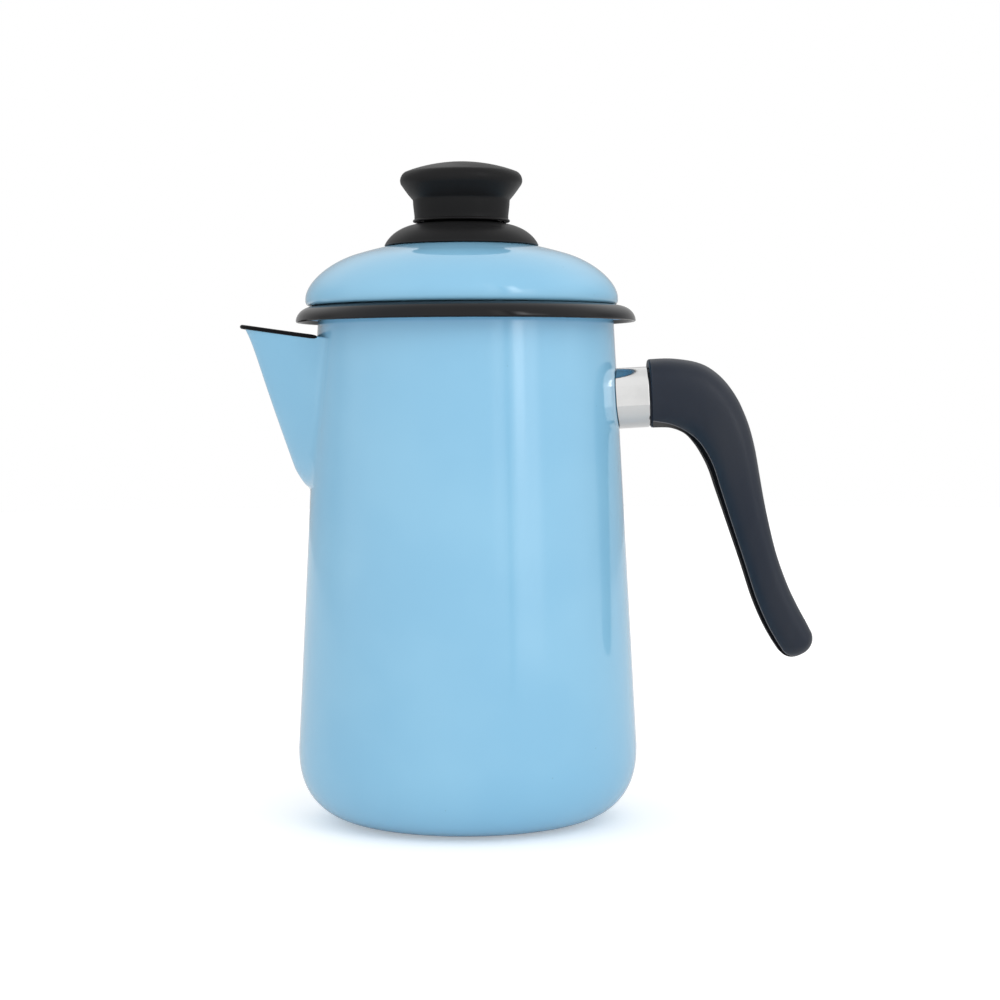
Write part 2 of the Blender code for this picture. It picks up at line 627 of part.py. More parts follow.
def make_basket(aluminium):
    tube_outer = TUBE_BORE + TUBE_WALL
    flange_top = BASKET_FLOOR - GAP
    flange_low = flange_top - TUBE_FLANGE_SHEET
    tube_top = BASKET_FLOOR + TUBE_HEIGHT
    tube = washer_outline(TUBE_BORE, TUBE_FLANGE, flange_low, flange_top)[:3]
    tube += [(tube_outer, flange_top), (tube_outer, tube_top), (TUBE_BORE, tube_top)]
    turned("basket_tube", tube, aluminium, SIDES_SMALL)

    top = BASKET_FLOOR + BASKET_HEIGHT
    flat = BASKET_RADIUS - BASKET_CORNER
    mouth = BASKET_RADIUS + BASKET_DRAFT
    corner = arc((flat, BASKET_FLOOR + BASKET_CORNER), (BASKET_CORNER, BASKET_CORNER), -90, 0, 3)
    lip = arc((mouth + LIP_ROUND, top - LIP_ROUND), (LIP_ROUND, LIP_ROUND), 180, 90, 2)
    outline = [(tube_outer + GAP, BASKET_FLOOR)] + corner + lip + [(BASKET_FLANGE, top)]
    basket = turned("basket", sheet(outline, BASKET_SHEET), aluminium, SIDES_MEDIUM)
    perforate(basket, BASKET_FLOOR - WALL, BASKET_FLOOR + BASKET_CORNER)


def make_spreader(aluminium):
    top = BASKET_FLOOR + BASKET_HEIGHT + BASKET_SHEET + GAP
    plate = top - SPREADER_DROP
    drop = BASKET_RADIUS - SPREADER_PLAY
    collar = TUBE_BORE + BASKET_SHEET
    soft = SPREADER_ROUND
    rim = [(BASKET_FLANGE, top)] + arc((drop + soft, top - soft), (soft, soft), 90, 180, 2)
    step = arc((drop - soft, plate + soft), (soft, soft), 0, -90, 2)
    neck = arc((collar + soft, plate + soft), (soft, soft), -90, -180, 2)
    outline = sheet(rim + step + neck + [(collar, plate + SPREADER_COLLAR)], -BASKET_SHEET)
    spreader = turned("spreader", outline, aluminium, SIDES_MEDIUM)
    perforate(spreader, plate - WALL - BASKET_SHEET, plate + WALL)


def main():
    for old in list(bpy.data.objects):
        bpy.data.objects.remove(old)
    blue = material("blue_enamel", (0.33, 0.62, 0.82), 0.12)
    black = material("black_bakelite", (0.020, 0.021, 0.024), 0.45)
    steel = material("polished_steel", (0.80, 0.80, 0.80), 0.12, 1.0)
    brass = material("brass", (0.75, 0.58, 0.28), 0.35, 1.0)
    aluminium = material("aluminium", (0.82, 0.82, 0.83), 0.35, 1.0)
    silicone = material("silicone", (0.60, 0.58, 0.55), 0.6)

    make_pot(blue)
    make_spout(blue)
    make_handle(steel, black)
    make_lid(blue, black, steel, brass, silicone)
    make_pump(aluminium)
    make_basket(aluminium)
    make_spreader(aluminium)


main()
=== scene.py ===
"""Looks of the enamelled coffee percolator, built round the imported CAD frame.

Every round piece is turned again with fine sides and rounded edges. The spout is a folded sheet that is
blended into the wall, and the handle is a smooth loft. Metres, in the CAD frame: the base's centre is the
origin, the spout points along -X, the handle along +X, and the camera looks along +Y.
"""

import math

import bmesh
import bpy
from mathutils import Matrix, Vector


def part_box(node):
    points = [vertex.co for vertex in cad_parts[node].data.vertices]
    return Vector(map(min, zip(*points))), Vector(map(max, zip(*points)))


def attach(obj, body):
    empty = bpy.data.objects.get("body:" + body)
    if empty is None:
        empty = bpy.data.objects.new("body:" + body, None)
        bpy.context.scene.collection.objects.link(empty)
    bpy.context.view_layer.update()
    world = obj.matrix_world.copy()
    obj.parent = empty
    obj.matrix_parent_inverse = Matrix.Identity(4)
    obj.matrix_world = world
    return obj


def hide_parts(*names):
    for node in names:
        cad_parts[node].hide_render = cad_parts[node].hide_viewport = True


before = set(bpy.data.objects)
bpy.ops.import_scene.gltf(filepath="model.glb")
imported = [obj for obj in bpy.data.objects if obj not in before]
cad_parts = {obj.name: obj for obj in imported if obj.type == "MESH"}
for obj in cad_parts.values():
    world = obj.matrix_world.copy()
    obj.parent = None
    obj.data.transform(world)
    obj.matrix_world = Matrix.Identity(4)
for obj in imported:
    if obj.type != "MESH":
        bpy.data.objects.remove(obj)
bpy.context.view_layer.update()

MM = 0.001
SIDES = 160  # round the pot and the lid
FINE = 96  # round the knob and the insert
SMALL = 48  # round screws and washers
EDGE_STEPS = 4  # round the edge of a sheet

# Sizes of the pot, read from the frame where a node gives them
BASE_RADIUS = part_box("pot_base")[1].y
POT_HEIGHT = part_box("pot_rim")[1].z
WALL = 1 * MM
GAP = 0.3 * MM  # between pieces that touch
FOOT_RADIUS = BASE_RADIUS - 29 * MM
CORNER_HEIGHT = 28 * MM
CORNER_SQUARE = 2.4  # 2 is an ellipse, larger is squarer
TAPER = 0.0517  # radius lost for each unit of height
NECK_HEIGHT = POT_HEIGHT - 9.2 * MM
CREST_RADIUS = BASE_RADIUS - 7 * MM  # the rim is highest here
RIM_DEPTH = 5.8 * MM  # from the crest down to the rim's free edge

STEM_RADIUS = 4.75 * MM
BASKET_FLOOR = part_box("basket")[0].z
BASKET_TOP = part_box("basket")[1].z


# Outlines: lists of (radius, height), or of (a, b) in any plane


def in_mm(*points):
    """Points given in millimetres, in metres."""
    return [(a * MM, b * MM) for a, b in points]


def wall_radius(height):
    """Outer radius of the pot's straight wall."""
    return BASE_RADIUS - TAPER * (height - CORNER_HEIGHT)


def arc(centre, radii, start, end, count, square=2):
    """Points on an ellipse's arc, from start to end in degrees, both ends included. Above 2 it is squarer."""
    points = []
    for i in range(count + 1):
        angle = math.radians(start + (end - start) * i / count)
        across, up = [math.copysign(abs(s) ** (2 / square), s) for s in (math.cos(angle), math.sin(angle))]
        points.append((centre[0] + radii[0] * across, centre[1] + radii[1] * up))
    return points


def bezier(p0, p1, p2, p3, count):
    """Points on a cubic curve, both ends included."""
    points = []
    for i in range(count + 1):
        t = i / count
        s = 1 - t
        weights = (s**3, 3 * s * s * t, 3 * s * t * t, t**3)
        points.append(tuple(sum(w * p[k] for w, p in zip(weights, (p0, p1, p2, p3))) for k in (0, 1)))
    return points


def line(start, end, count):
    """Points on a straight line, both ends included."""
    return [tuple(a + (b - a) * i / count for a, b in zip(start, end)) for i in range(count + 1)]


def parallel(points, distance):
    """The outline's line moved sideways, to its left for a positive distance."""
    moved = []
    last = len(points) - 1
    for i, point in enumerate(points):
        here = Vector(point)
        ahead = (Vector(points[min(i + 1, last)]) - here).normalized()
        behind = (here - Vector(points[max(i - 1, 0)])).normalized()
        along = ((ahead or behind) + (behind or ahead)).normalized()
        reach = distance / max(along.dot(ahead if i < last else behind), 0.5)
        moved.append((here.x - along.y * reach, here.y + along.x * reach))
    return moved


def chain(*runs):
    """Runs of points end to end, with each shared point kept once."""
    points = []
    for run in runs:
        points += [p for p in run if not points or math.dist(p, points[-1]) > 1e-6]
    return points


def round_edge(first, second):
    """Points of a half circle between the ends of a sheet's two faces, leaving the ends out."""
    a, b = Vector(first[-1]), Vector(second[-1])
    out = (a - Vector(first[-2])).normalized()
    middle, half = (a + b) / 2, (a - b) / 2
    steps = [math.pi * i / EDGE_STEPS for i in range(1, EDGE_STEPS)]
    return [tuple(middle + half * math.cos(t) + out * half.length * math.sin(t)) for t in steps]


def sheet(points, thickness):
    """A closed outline of a sheet whose far end is rounded. Its second face lies to the left of the first."""
    other = parallel(points, thickness)
    return points + round_edge(points, other) + other[::-1]


# Meshes

SIDEWAYS = Matrix.Rotation(math.radians(90), 4, "Y")  # lays a drill along X


def linked(name, data):
    """A new object in the scene that shows the data."""
    made = bpy.data.objects.new(name, data)
    bpy.context.scene.collection.objects.link(made)
    return made


def tidy_mesh(name, bm, materials, sharp=40):
    """Closes a bmesh into a named object, with its materials and smooth rounds."""
    bmesh.ops.remove_doubles(bm, verts=bm.verts, dist=1e-7)
    bmesh.ops.recalc_face_normals(bm, faces=bm.faces)
    mesh = bpy.data.meshes.new(name)
    bm.to_mesh(mesh)
    bm.free()
    mesh.shade_smooth()
    mesh.set_sharp_from_angle(angle=math.radians(sharp))
    for surface in materials:
        mesh.materials.append(surface)
    return linked(name, mesh)


def turned(name, outline, materials, sides=FINE, sharp=40, pick=None):
    """A closed outline spun round Z. pick(face centre, normal) gives a face's material index."""
    bm = bmesh.new()
    rings = []
    for radius, height in outline:
        if radius < 1e-6:
            rings.append([bm.verts.new((0, 0, height))] * sides)
            continue
        angles = [math.tau * i / sides for i in range(sides)]
        rings.append([bm.verts.new((radius * math.cos(a), radius * math.sin(a), height)) for a in angles])
    for low, high in zip(rings, rings[1:] + rings[:1]):
        for i in range(sides):
            j = (i + 1) % sides
            corners = list(dict.fromkeys((low[i], low[j], high[j], high[i])))
            if len(corners) > 2:
                bm.faces.new(corners)
    if pick:
        bmesh.ops.recalc_face_normals(bm, faces=bm.faces)
        for face in bm.faces:
            face.material_index = pick(face.calc_center_median(), face.normal)
    return tidy_mesh(name, bm, materials, sharp)


def loft(loops, pick=None):
    """A bmesh through equal closed loops of points, capped at both ends.

    pick(place in its half of the loop, ring) gives a face's material index.
    """
    bm = bmesh.new()
    rings = [[bm.verts.new(point) for point in loop] for loop in loops]
    for ring_index, (low, high) in enumerate(zip(rings, rings[1:])):
        for i in range(len(low)):
            j = (i + 1) % len(low)
            face = bm.faces.new((low[i], low[j], high[j], high[i]))
            if pick:
                face.material_index = pick(min(i, len(low) - 1 - i), ring_index)
    bm.faces.new(rings[0][::-1])
    bm.faces.new(rings[-1])
    return bm


def drill(radius, low, high, lie, sides=24, top=None):
    """A closed cylinder along its own Z, or a cone if top is given, put in place by a matrix."""
    bm = bmesh.new()
    lie = lie @ Matrix.Translation((0, 0, (low + high) / 2))
    bmesh.ops.create_cone(
        bm, cap_ends=True, segments=sides, radius1=radius, radius2=top or radius, depth=high - low, matrix=lie
    )
    return bm


def cut(piece, shapes, operation="DIFFERENCE", sharp=40):
    """Takes closed shapes out of the piece, or joins them to it, and leaves no modifier behind."""
    both = bmesh.new()
    for shape in shapes:
        mesh = bpy.data.meshes.new("cutter")
        shape.to_mesh(mesh)
        shape.free()
        both.from_mesh(mesh)
        bpy.data.meshes.remove(mesh)
    cutter = tidy_mesh("cutter", both, [])
    boolean = piece.modifiers.new("cut", "BOOLEAN")
    boolean.operation = operation
    boolean.object = cutter
    apply_modifiers(piece)
    piece.data.set_sharp_from_angle(angle=math.radians(sharp))
    bpy.data.objects.remove(cutter)


def apply_modifiers(piece):
    """Puts the evaluated mesh in the place of the piece's own, and clears its modifiers."""
    bpy.context.view_layer.update()
    graph = bpy.context.evaluated_depsgraph_get()
    mesh = bpy.data.meshes.new_from_object(piece.evaluated_get(graph), depsgraph=graph)
    piece.modifiers.clear()
    piece.data = mesh
    mesh.name = piece.name


def place(piece, body, slot, *nodes):
    """Hands a piece to the frame: its body, and the CAD nodes that it stands for, which it hides. slot is not
    used.
    """
    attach(piece, body)
    if nodes:
        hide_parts(*nodes)


# Materials


RUBBED = (0.535, 0.600)  # Pointiness at which wear along an edge begins, and where it is full


def feed(socket, value):
    """Links a socket to another one, or sets its value. A colour may leave out its alpha."""
    if isinstance(value, bpy.types.NodeSocket):
        socket.id_data.links.new(value, socket)
        return
    if isinstance(value, tuple) and len(value) < len(socket.default_value):
        value = (*value, 1)
    socket.default_value = value


class Tree:
    """Short names for building the nodes of a material or of the world."""

    def __init__(self, owner):
        self.owner = owner
        self.nodes = owner.node_tree.nodes
        self.coordinates = self.add("TexCoord").outputs
        self.position = self.coordinates["Object"]

    def add(self, kind, inputs=None, **settings):
        node = self.nodes.new("ShaderNode" + kind)
        for key, value in settings.items():
            setattr(node, key, value)
        for key, value in (inputs or {}).items():
            feed(node.inputs[key], value)
        return node

    def math(self, operation, a, b=0):
        return self.add("Math", {0: a, 1: b}, operation=operation).outputs[0]

    def times(self, a, b):
        return self.math("MULTIPLY", a, b)

    def stretched(self, scale):
        return self.add("Mapping", {"Vector": self.position, "Scale": scale}).outputs[0]

    def noise(self, scale, detail=3, roughness=0.5, vector=None):
        inputs = {"Vector": vector or self.position, "Scale": scale, "Detail": detail, "Roughness": roughness}
        return self.add("TexNoise", inputs).outputs["Fac"]

    def ramp(self, factor, low, high, from_value=0, to_value=1):
        inputs = {"Value": factor, "From Min": low, "From Max": high}
        inputs.update({"To Min": from_value, "To Max": to_value})
        return self.add("MapRange", inputs, interpolation_type="SMOOTHSTEP").outputs[0]

    def mix(self, factor, first, second):
        return self.add("Mix", {"Factor": factor, 6: first, 7: second}, data_type="RGBA").outputs[2]

    def rings(self, scale):
        """Fine turning lines round the Z axis: noise that changes with radius and height only."""
        parts = self.add("SeparateXYZ", {0: self.position}).outputs
        squares = [self.times(part, part) for part in parts[:2]]
        radius = self.math("SQRT", self.math("ADD", *squares))
        vector = self.add("CombineXYZ", {0: radius, 2: parts[2]}).outputs[0]
        return self.noise(scale, 4, 0.6, vector)

    def edges(self):
        """0 on flat and hollow faces, and 1 along edges that stand out, where hands and cloths rub."""
        pointed = self.add("NewGeometry").outputs["Pointiness"]
        wear_and_painted_reflection = self.times(self.noise(130, 3, 0.6), 0.04)
        return self.ramp(self.math("ADD", pointed, wear_and_painted_reflection), *RUBBED)

    def bump(self, height, distance, below=None):
        inputs = {"Height": height, "Distance": distance, "Strength": 1.0}
        if below:
            inputs["Normal"] = below
        return self.add("Bump", inputs).outputs[0]

    def finish(self, **sockets):
        """Sets the shader's sockets: a name with underscores, and a socket, a number or a colour."""
        for key, value in sockets.items():
            feed(self.nodes["Principled BSDF"].inputs[key.replace("_", " ")], value)
        return self.owner


def surface_tree(name):
    """The tree of a new material."""
    material = bpy.data.materials.new(name)
    material.use_nodes = True
    return Tree(material)


def enamel(name, colour, deep, gloss, specular, coat):
    """Fired glass over drawn steel: faint flutes, orange peel, slow drifts of depth and a few pinholes."""
    tree = surface_tree(name)
    drift = tree.ramp(tree.noise(22, 2), 0.35, 0.68)
    base = tree.mix(drift, colour, deep)
    cells = tree.add("TexVoronoi", {"Vector": tree.position, "Scale": 95.0}).outputs["Distance"]
    pinholes = tree.ramp(cells, 0.012, 0.028, 1, 0)
    base = tree.mix(tree.times(pinholes, 0.35), base, tuple(c * 0.35 for c in deep))
    edges = tree.edges()
    base = tree.mix(tree.times(edges, 0.25), base, tuple(c * 1.12 for c in colour))
    smears = tree.ramp(tree.noise(60, 4, 0.6), 0.3, 0.75, gloss, gloss + 0.05)
    smears = tree.math("ADD", smears, tree.times(edges, 0.04))
    flutes = tree.bump(tree.noise(42, 2, 0.5, tree.stretched((1, 1, 0.10))), 0.00006)
    peel = tree.bump(tree.noise(230, 1), 0.000006, flutes)
    return tree.finish(
        Base_Color=base, Roughness=smears, IOR=1.52, Specular_IOR_Level=specular, Coat_Weight=coat,
        Coat_Roughness=0.03, Normal=tree.bump(pinholes, -0.00004, peel),
    )


def moulded(name, colour, worn, roughness, specular, wear_and_painted_reflection=None):
    """Moulded phenolic plastic: fine grain, faint flow marks, and a little polish from hands.

    The last argument gives a painted reflection: a lighter colour, and the two distances along X where it
    fades out.
    """
    tree = surface_tree(name)
    flow = tree.ramp(tree.noise(35, 3, 0.6, tree.stretched((1, 1, 0.35))), 0.3, 0.7)
    edges = tree.edges()
    base = tree.mix(flow, colour, worn)
    base = tree.mix(tree.times(edges, 0.5), base, tuple(c * 1.7 for c in worn))
    # Painted reflection: a lighter colour that fades out along X.
    if wear_and_painted_reflection:
        along = tree.add("SeparateXYZ", {0: tree.position}).outputs[0]
        base = tree.mix(tree.ramp(along, *wear_and_painted_reflection[1:], 1, 0), base, wear_and_painted_reflection[0])
    hands = tree.ramp(tree.noise(48, 2), 0.35, 0.7, roughness - 0.05, roughness + 0.05)
    hands = tree.math("SUBTRACT", hands, tree.times(edges, 0.06))
    grain = tree.bump(tree.noise(2600, 2), 0.000012)
    scuffs = tree.noise(900, 2, 0.5, tree.stretched((1, 1, 0.08)))
    return tree.finish(
        Base_Color=base, Roughness=hands, IOR=1.5, Specular_IOR_Level=specular,
        Normal=tree.bump(tree.ramp(scuffs, 0.62, 0.7), 0.000006, grain),
    )


def metal(name, colour, dull, roughness, lines, line_depth, turned_lines=True, painted_underside_shade=None):
    """Bare metal: fine lines from polishing or turning, and faint dull patches.

    The last argument gives the two heights between which painted shade, darker towards the bottom, fades out.
    """
    tree = surface_tree(name)
    patches = tree.ramp(tree.noise(70, 4, 0.65), 0.35, 0.75)
    base = tree.mix(patches, colour, dull)
    if turned_lines:
        texture = tree.rings(lines)
    else:
        texture = tree.noise(lines, 3, 0.6, tree.stretched((0.05, 1, 1)))
    # Painted shade: darker towards the bottom, fading out between the two heights.
    if painted_underside_shade:
        height = tree.add("SeparateXYZ", {0: tree.position}).outputs[2]
        base = tree.mix(tree.ramp(height, *painted_underside_shade, 0.8, 0), base, tuple(c * 0.8 for c in dull))
    edges = tree.edges()
    base = tree.mix(tree.times(edges, 0.6), base, tuple(min(c * 1.12, 0.95) for c in colour))
    rough = tree.ramp(patches, 0, 1, roughness, roughness + 0.09)
    return tree.finish(Base_Color=base, Roughness=rough, Metallic=1, Normal=tree.bump(texture, line_depth))


def soft_rubber(name, colour):
    """Matt silicone with a fine grain."""
    tree = surface_tree(name)
    base = tree.mix(tree.noise(160, 4), colour, tuple(c * 0.8 for c in colour))
    return tree.finish(Base_Color=base, Roughness=0.6, Normal=tree.bump(tree.noise(1500, 2), 0.00001))


BLUE = enamel("blue_enamel", (0.250, 0.525, 0.730), (0.230, 0.501, 0.711), 0.07, 0.5, 0.20)
BLACK = enamel("black_enamel", (0.004, 0.0045, 0.006), (0.006, 0.0055, 0.006), 0.09, 0.26, 0)
LIP_BLACK = enamel("lip_enamel", (0.0025, 0.003, 0.004), (0.004, 0.004, 0.005), 0.14, 0.06, 0)
GRIP = moulded("handle_phenolic", (0.0155, 0.021, 0.034), (0.0245, 0.029, 0.040), 0.42, 0.26)
# Painted highlight: the seam along the chamfer's edge is pale grey, standing in for light caught on that
# edge.
SEAM_PAINTED_HIGHLIGHT = moulded("handle_seam_painted_highlight", (0.17, 0.17, 0.18), (0.13, 0.13, 0.14), 0.50, 0.20)
# Painted shade: the chamfers and inner face are a near-black, nearly glossless copy of the handle's plastic.
INSIDE_PAINTED_SHADE = moulded(
    "handle_inside_painted_shade", (0.003, 0.003, 0.004), (0.005, 0.005, 0.006), 0.65, 0.03,
    # Painted reflection of the floor: lighter near the ferrule, fading out between 74 and 86 mm along X.
    ((0.085, 0.079, 0.076), 74 * MM, 86 * MM),
)
KNOB = moulded("knob_phenolic", (0.0115, 0.0115, 0.012), (0.014, 0.014, 0.0145), 0.38, 0.10)
# The ferrule is darkened towards its underside, below 157 mm: painted shade.
CHROME = metal(
    "polished_steel", (0.73, 0.73, 0.725), (0.67, 0.67, 0.67), 0.09, 1800, 0.000003, False,
    (148.5 * MM, 157 * MM),
)
STEEL = metal("turned_steel", (0.62, 0.61, 0.59), (0.50, 0.49, 0.47), 0.28, 2600, 0.000012)
# Painted shade: a much darker steel for the faces inside the screws' slots.
SLOT_PAINTED_SHADE = metal("slot_steel_painted_shade", (0.16, 0.155, 0.15), (0.08, 0.075, 0.07), 0.45, 2600, 0.000012)
BRASS = metal("brass", (0.72, 0.53, 0.24), (0.52, 0.37, 0.17), 0.30, 2600, 0.000012)
ALUMINIUM = metal("spun_aluminium", (0.78, 0.78, 0.79), (0.73, 0.73, 0.74), 0.25, 1500, 0.000022)
SILICONE = soft_rubber("silicone", (0.58, 0.56, 0.52))


# Spout: a height over the pot's wall, which fades softly into it

SPOUT_FOOT = 127.4 * MM  # where its nose line meets the wall
SPOUT_LIP = 183.6 * MM  # height of the lip's root at the wall
LIP_RISE = 0.18  # slope of the lip, up towards the tip
NOSE_REACH = 6.6 * MM  # reach beyond the wall at NOSE_HEIGHT
NOSE_HEIGHT = 135.3 * MM
NOSE_SLOPE = 0.412  # reach gained for each unit of height
NOSE_ROUND = 8 * MM  # height of the nose's rounded foot
ROOT_WIDTH = 16.8 * MM  # half width at the wall, at ROOT_HEIGHT
ROOT_HEIGHT = 140 * MM
ROOT_SLOPE = 0.135
ROOT_ROUND = ROOT_HEIGHT - SPOUT_FOOT
RISE_POWER = 1.6
POUR_LIP = 1.7 * MM  # how far the very tip turns out
POUR_TURN = 24  # how late the tip turns: a power of the rise
NOSE_BLUNT = 0.30  # 0 is a sharp V, large is a round U
BELOW_FOOT = (1.3, 0.44)  # how fast the bare V falls away under the foot, down and sideways
BLEND = 2.2 * MM  # size of the soft corner between the spout and the wall
SINK = 0.30 * MM  # how far the sheet's edge dips under the wall's surface
SPOUT_SHEET = 0.8 * MM
LIP_BEAD = 0.82 * MM  # radius of the bead
LIP_END = 0.935  # the bead stops here, as a share of the root's half width
LIP_NOSE = 0.9 * MM  # how far the bead stands out at the nose
BEAD_POINTS = 60
BEAD_DROP = 0.3 * MM
GRID = 0.7 * MM  # size of the sheet's faces
SPREAD = 30 * MM  # the grid's half width
SKIN_EDGE = 0.45  # the sheet ends where it has dipped by this share of SINK


def rounded_foot(height, top, depth):
    """1 above top, falling along a quarter ellipse to 0 at top - depth."""
    drop = min(max((top - height) / depth, 0), 1)
    return math.sqrt(1 - drop * drop)


def root_width(height):
    """Half width of the spout where it leaves the wall."""
    widening = ROOT_SLOPE * max(height - ROOT_HEIGHT, 0)
    return (ROOT_WIDTH + widening) * rounded_foot(height, ROOT_HEIGHT, ROOT_ROUND)


def vee(side):
    """The spout's blunt V in plan: 1 at the nose, 0 at the wall, and less than 0 beyond it."""
    blunt = math.sqrt(1 + NOSE_BLUNT**2)
    return (blunt - math.sqrt(side**2 + NOSE_BLUNT**2)) / (blunt - NOSE_BLUNT)


def spout_rise(height):
    """0 at the spout's foot and 1 at its lip."""
    return max((height - SPOUT_FOOT) / (SPOUT_LIP - SPOUT_FOOT), 0) ** (1 / RISE_POWER)


def spout_depth(y, height):
    """Reach of the bare V beyond the wall, and less than 0 outside its root."""
    if height <= SPOUT_FOOT:
        return -BELOW_FOOT[0] * (SPOUT_FOOT - height) - BELOW_FOOT[1] * abs(y)
    reach = NOSE_REACH + NOSE_SLOPE * (height - NOSE_HEIGHT)
    reach *= rounded_foot(height, SPOUT_FOOT + NOSE_ROUND, NOSE_ROUND)
    side = y / max(root_width(height), 1e-5)
    tip = POUR_LIP * spout_rise(height) ** POUR_TURN * max(vee(side), 0) ** 3
    return reach * vee(side) + tip


def spout_height(y, height):
    """Reach with the soft corner, from -SINK far out on the wall to the bare V's at the nose."""
    bare = spout_depth(y, height)
    slant = math.sqrt(bare**2 + BLEND**2)
    return (bare + slant) / 2 - SINK * (1 - bare / slant) / 2


def spout_point(y, height):
    """A point of the sheet's outer face, along -X from the place (y, height) on the pot's axis plane."""
    out = spout_height(y, height)
    wall_x = math.sqrt(wall_radius(height) ** 2 - y**2)
    lift = LIP_RISE * max(out, 0) * spout_rise(height) ** 4
    return Vector((-(wall_x + out), y, height + lift))


def make_spout():
    """The folded sheet, blue outside and black within."""
    bm = bmesh.new()
    half = round(SPREAD / GRID)
    low = SPOUT_FOOT - 6 * MM
    rows = round((SPOUT_LIP - low) / GRID)
    grid = []
    for row in range(rows + 1):
        height = low + (SPOUT_LIP - low) * row / rows
        grid.append([bm.verts.new(spout_point(i * GRID, height)) for i in range(-half, half + 1)])
    for row, (under, over) in enumerate(zip(grid, grid[1:])):
        height = low + (SPOUT_LIP - low) * (row + 0.5) / rows
        for i in range(2 * half):
            if spout_height((i + 0.5 - half) * GRID, height) > -SKIN_EDGE * SINK:
                bm.faces.new((under[i], over[i], over[i + 1], under[i + 1]))
    bmesh.ops.delete(bm, geom=[v for v in bm.verts if not v.link_faces], context="VERTS")
    spout = tidy_mesh("spout_shell", bm, [BLUE, BLACK], sharp=70)
    if sum(p.normal.x * p.area for p in spout.data.polygons) > 0:
        spout.data.flip_normals()
    skin = spout.modifiers.new("sheet", "SOLIDIFY")
    skin.thickness = SPOUT_SHEET
    skin.offset = -1
    skin.material_offset = 1
    skin.material_offset_rim = 0
    apply_modifiers(spout)
    place(spout, "pot", "blue_enamel", "spout")


def make_spout_lip():
    """The black bead along the spout's lip, which thins out at both ends."""
    width = root_width(SPOUT_LIP)
    path = bpy.data.curves.new("spout_lip", "CURVE")
    path.dimensions = "3D"
    path.bevel_depth = LIP_BEAD
    path.bevel_resolution = 4
    path.use_fill_caps = True
    spline = path.splines.new("POLY")
    spline.points.add(BEAD_POINTS)
    for i, point in enumerate(spline.points):
        side = (2 * i / BEAD_POINTS - 1) * LIP_END
        y = side * width
        ahead = spout_point(y + 0.2 * MM, SPOUT_LIP) - spout_point(y - 0.2 * MM, SPOUT_LIP)
        inward = Vector((ahead.y, -ahead.x, 0)).normalized()
        if inward.x < 0:
            inward = -inward
        nose = Vector((-LIP_NOSE * max(vee(side), 0) ** 6, 0, -BEAD_DROP))
        point.co = (*(spout_point(y, SPOUT_LIP) + inward * SPOUT_SHEET / 2 + nose), 1)
        end = min(i, BEAD_POINTS - i)
        point.radius = math.sqrt(1 - (1 - min((end + 0.3) / 2.5, 1)) ** 2)
    path.materials.append(LIP_BLACK)
    place(linked("spout_lip", path), "pot", "black_enamel")


# Pot

STRAINER_ROWS = ((146 * MM, 3), (155 * MM, 4), (164 * MM, 5), (173 * MM, 4))  # height and count
STRAINER_PITCH = math.radians(8)
STRAINER_HOLE = 2.7 * MM  # radius
NECK_LEAN = (-0.3 * MM, 5.5 * MM)  # to the flare's first control point
CREST_LEAN = 1.4 * MM  # from the crest back to the flare's second control point
WALL_DEPTH = 1.6 * MM  # the wall is black where the spout stands further out than this


def pot_outline():
    """Outside face from the base's centre up to the rim's free edge, round it, and down the inside."""
    base = line((0, 0), (FOOT_RADIUS, 0), 6)
    corner_radii = (BASE_RADIUS - FOOT_RADIUS, CORNER_HEIGHT)
    corner = arc((FOOT_RADIUS, CORNER_HEIGHT), corner_radii, -90, 0, 30, CORNER_SQUARE)
    wall = line((BASE_RADIUS, CORNER_HEIGHT), (wall_radius(NECK_HEIGHT), NECK_HEIGHT), 72)
    neck = wall[-1]
    crest = (CREST_RADIUS, POT_HEIGHT - WALL)
    first = (neck[0] + NECK_LEAN[0], neck[1] + NECK_LEAN[1])
    flare = bezier(neck, first, (crest[0] - CREST_LEAN, crest[1]), crest, 12)
    reach = BASE_RADIUS - WALL - CREST_RADIUS
    roll = arc((CREST_RADIUS, POT_HEIGHT - RIM_DEPTH), (reach, RIM_DEPTH - WALL), 90, 2, 14)
    return sheet(chain(base, corner, wall, flare, roll), WALL)


def facing(centre, normal):
    """A face's distance from the Z axis, and how far it faces away from that axis, from -1 to 1."""
    radius = math.hypot(centre.x, centre.y)
    return radius, (normal.x * centre.x + normal.y * centre.y) / max(radius, 1e-6)


def pot_face(centre, normal):
    """0 is blue, for the outside. 1 is black, for the inside, the rim and the wall within the spout."""
    radius, outward = facing(centre, normal)
    if centre.z > NECK_HEIGHT:
        on_rim = radius > wall_radius(NECK_HEIGHT) + 0.6 * MM
        if on_rim and normal.z < -0.25 and radius < BASE_RADIUS - 1.2 * MM:
            return 0
        on_neck = radius < wall_radius(NECK_HEIGHT) + 0.6 * MM
        return 0 if outward > 0.5 and on_neck and normal.z < 0.2 else 1
    if centre.z < 0.5 * MM:
        return 0
    if centre.z < CORNER_HEIGHT:
        return 0 if outward > 0.02 or normal.z < -0.3 else 1
    behind = centre.x < 0 and abs(centre.y) < 24 * MM
    in_spout = behind and spout_depth(centre.y, centre.z) > WALL_DEPTH
    return 1 if outward < 0 or (in_spout and centre.z < SPOUT_LIP - 1.2 * MM) else 0


def make_pot():
    pot = turned("pot_shell", pot_outline(), [BLUE, BLACK], SIDES, sharp=50, pick=pot_face)
    holes = []
    for height, count in STRAINER_ROWS:
        for i in range(count):
            turn = math.pi + (i - (count - 1) / 2) * STRAINER_PITCH
            lie = Matrix.Translation((0, 0, height)) @ (Matrix.Rotation(turn, 4, "Z") @ SIDEWAYS)
            holes.append(drill(STRAINER_HOLE, 40 * MM, 66 * MM, lie))
    cut(pot, holes)
    place(pot, "pot", "blue_enamel", "pot_base", "pot_wall", "pot_rim")


# Handle

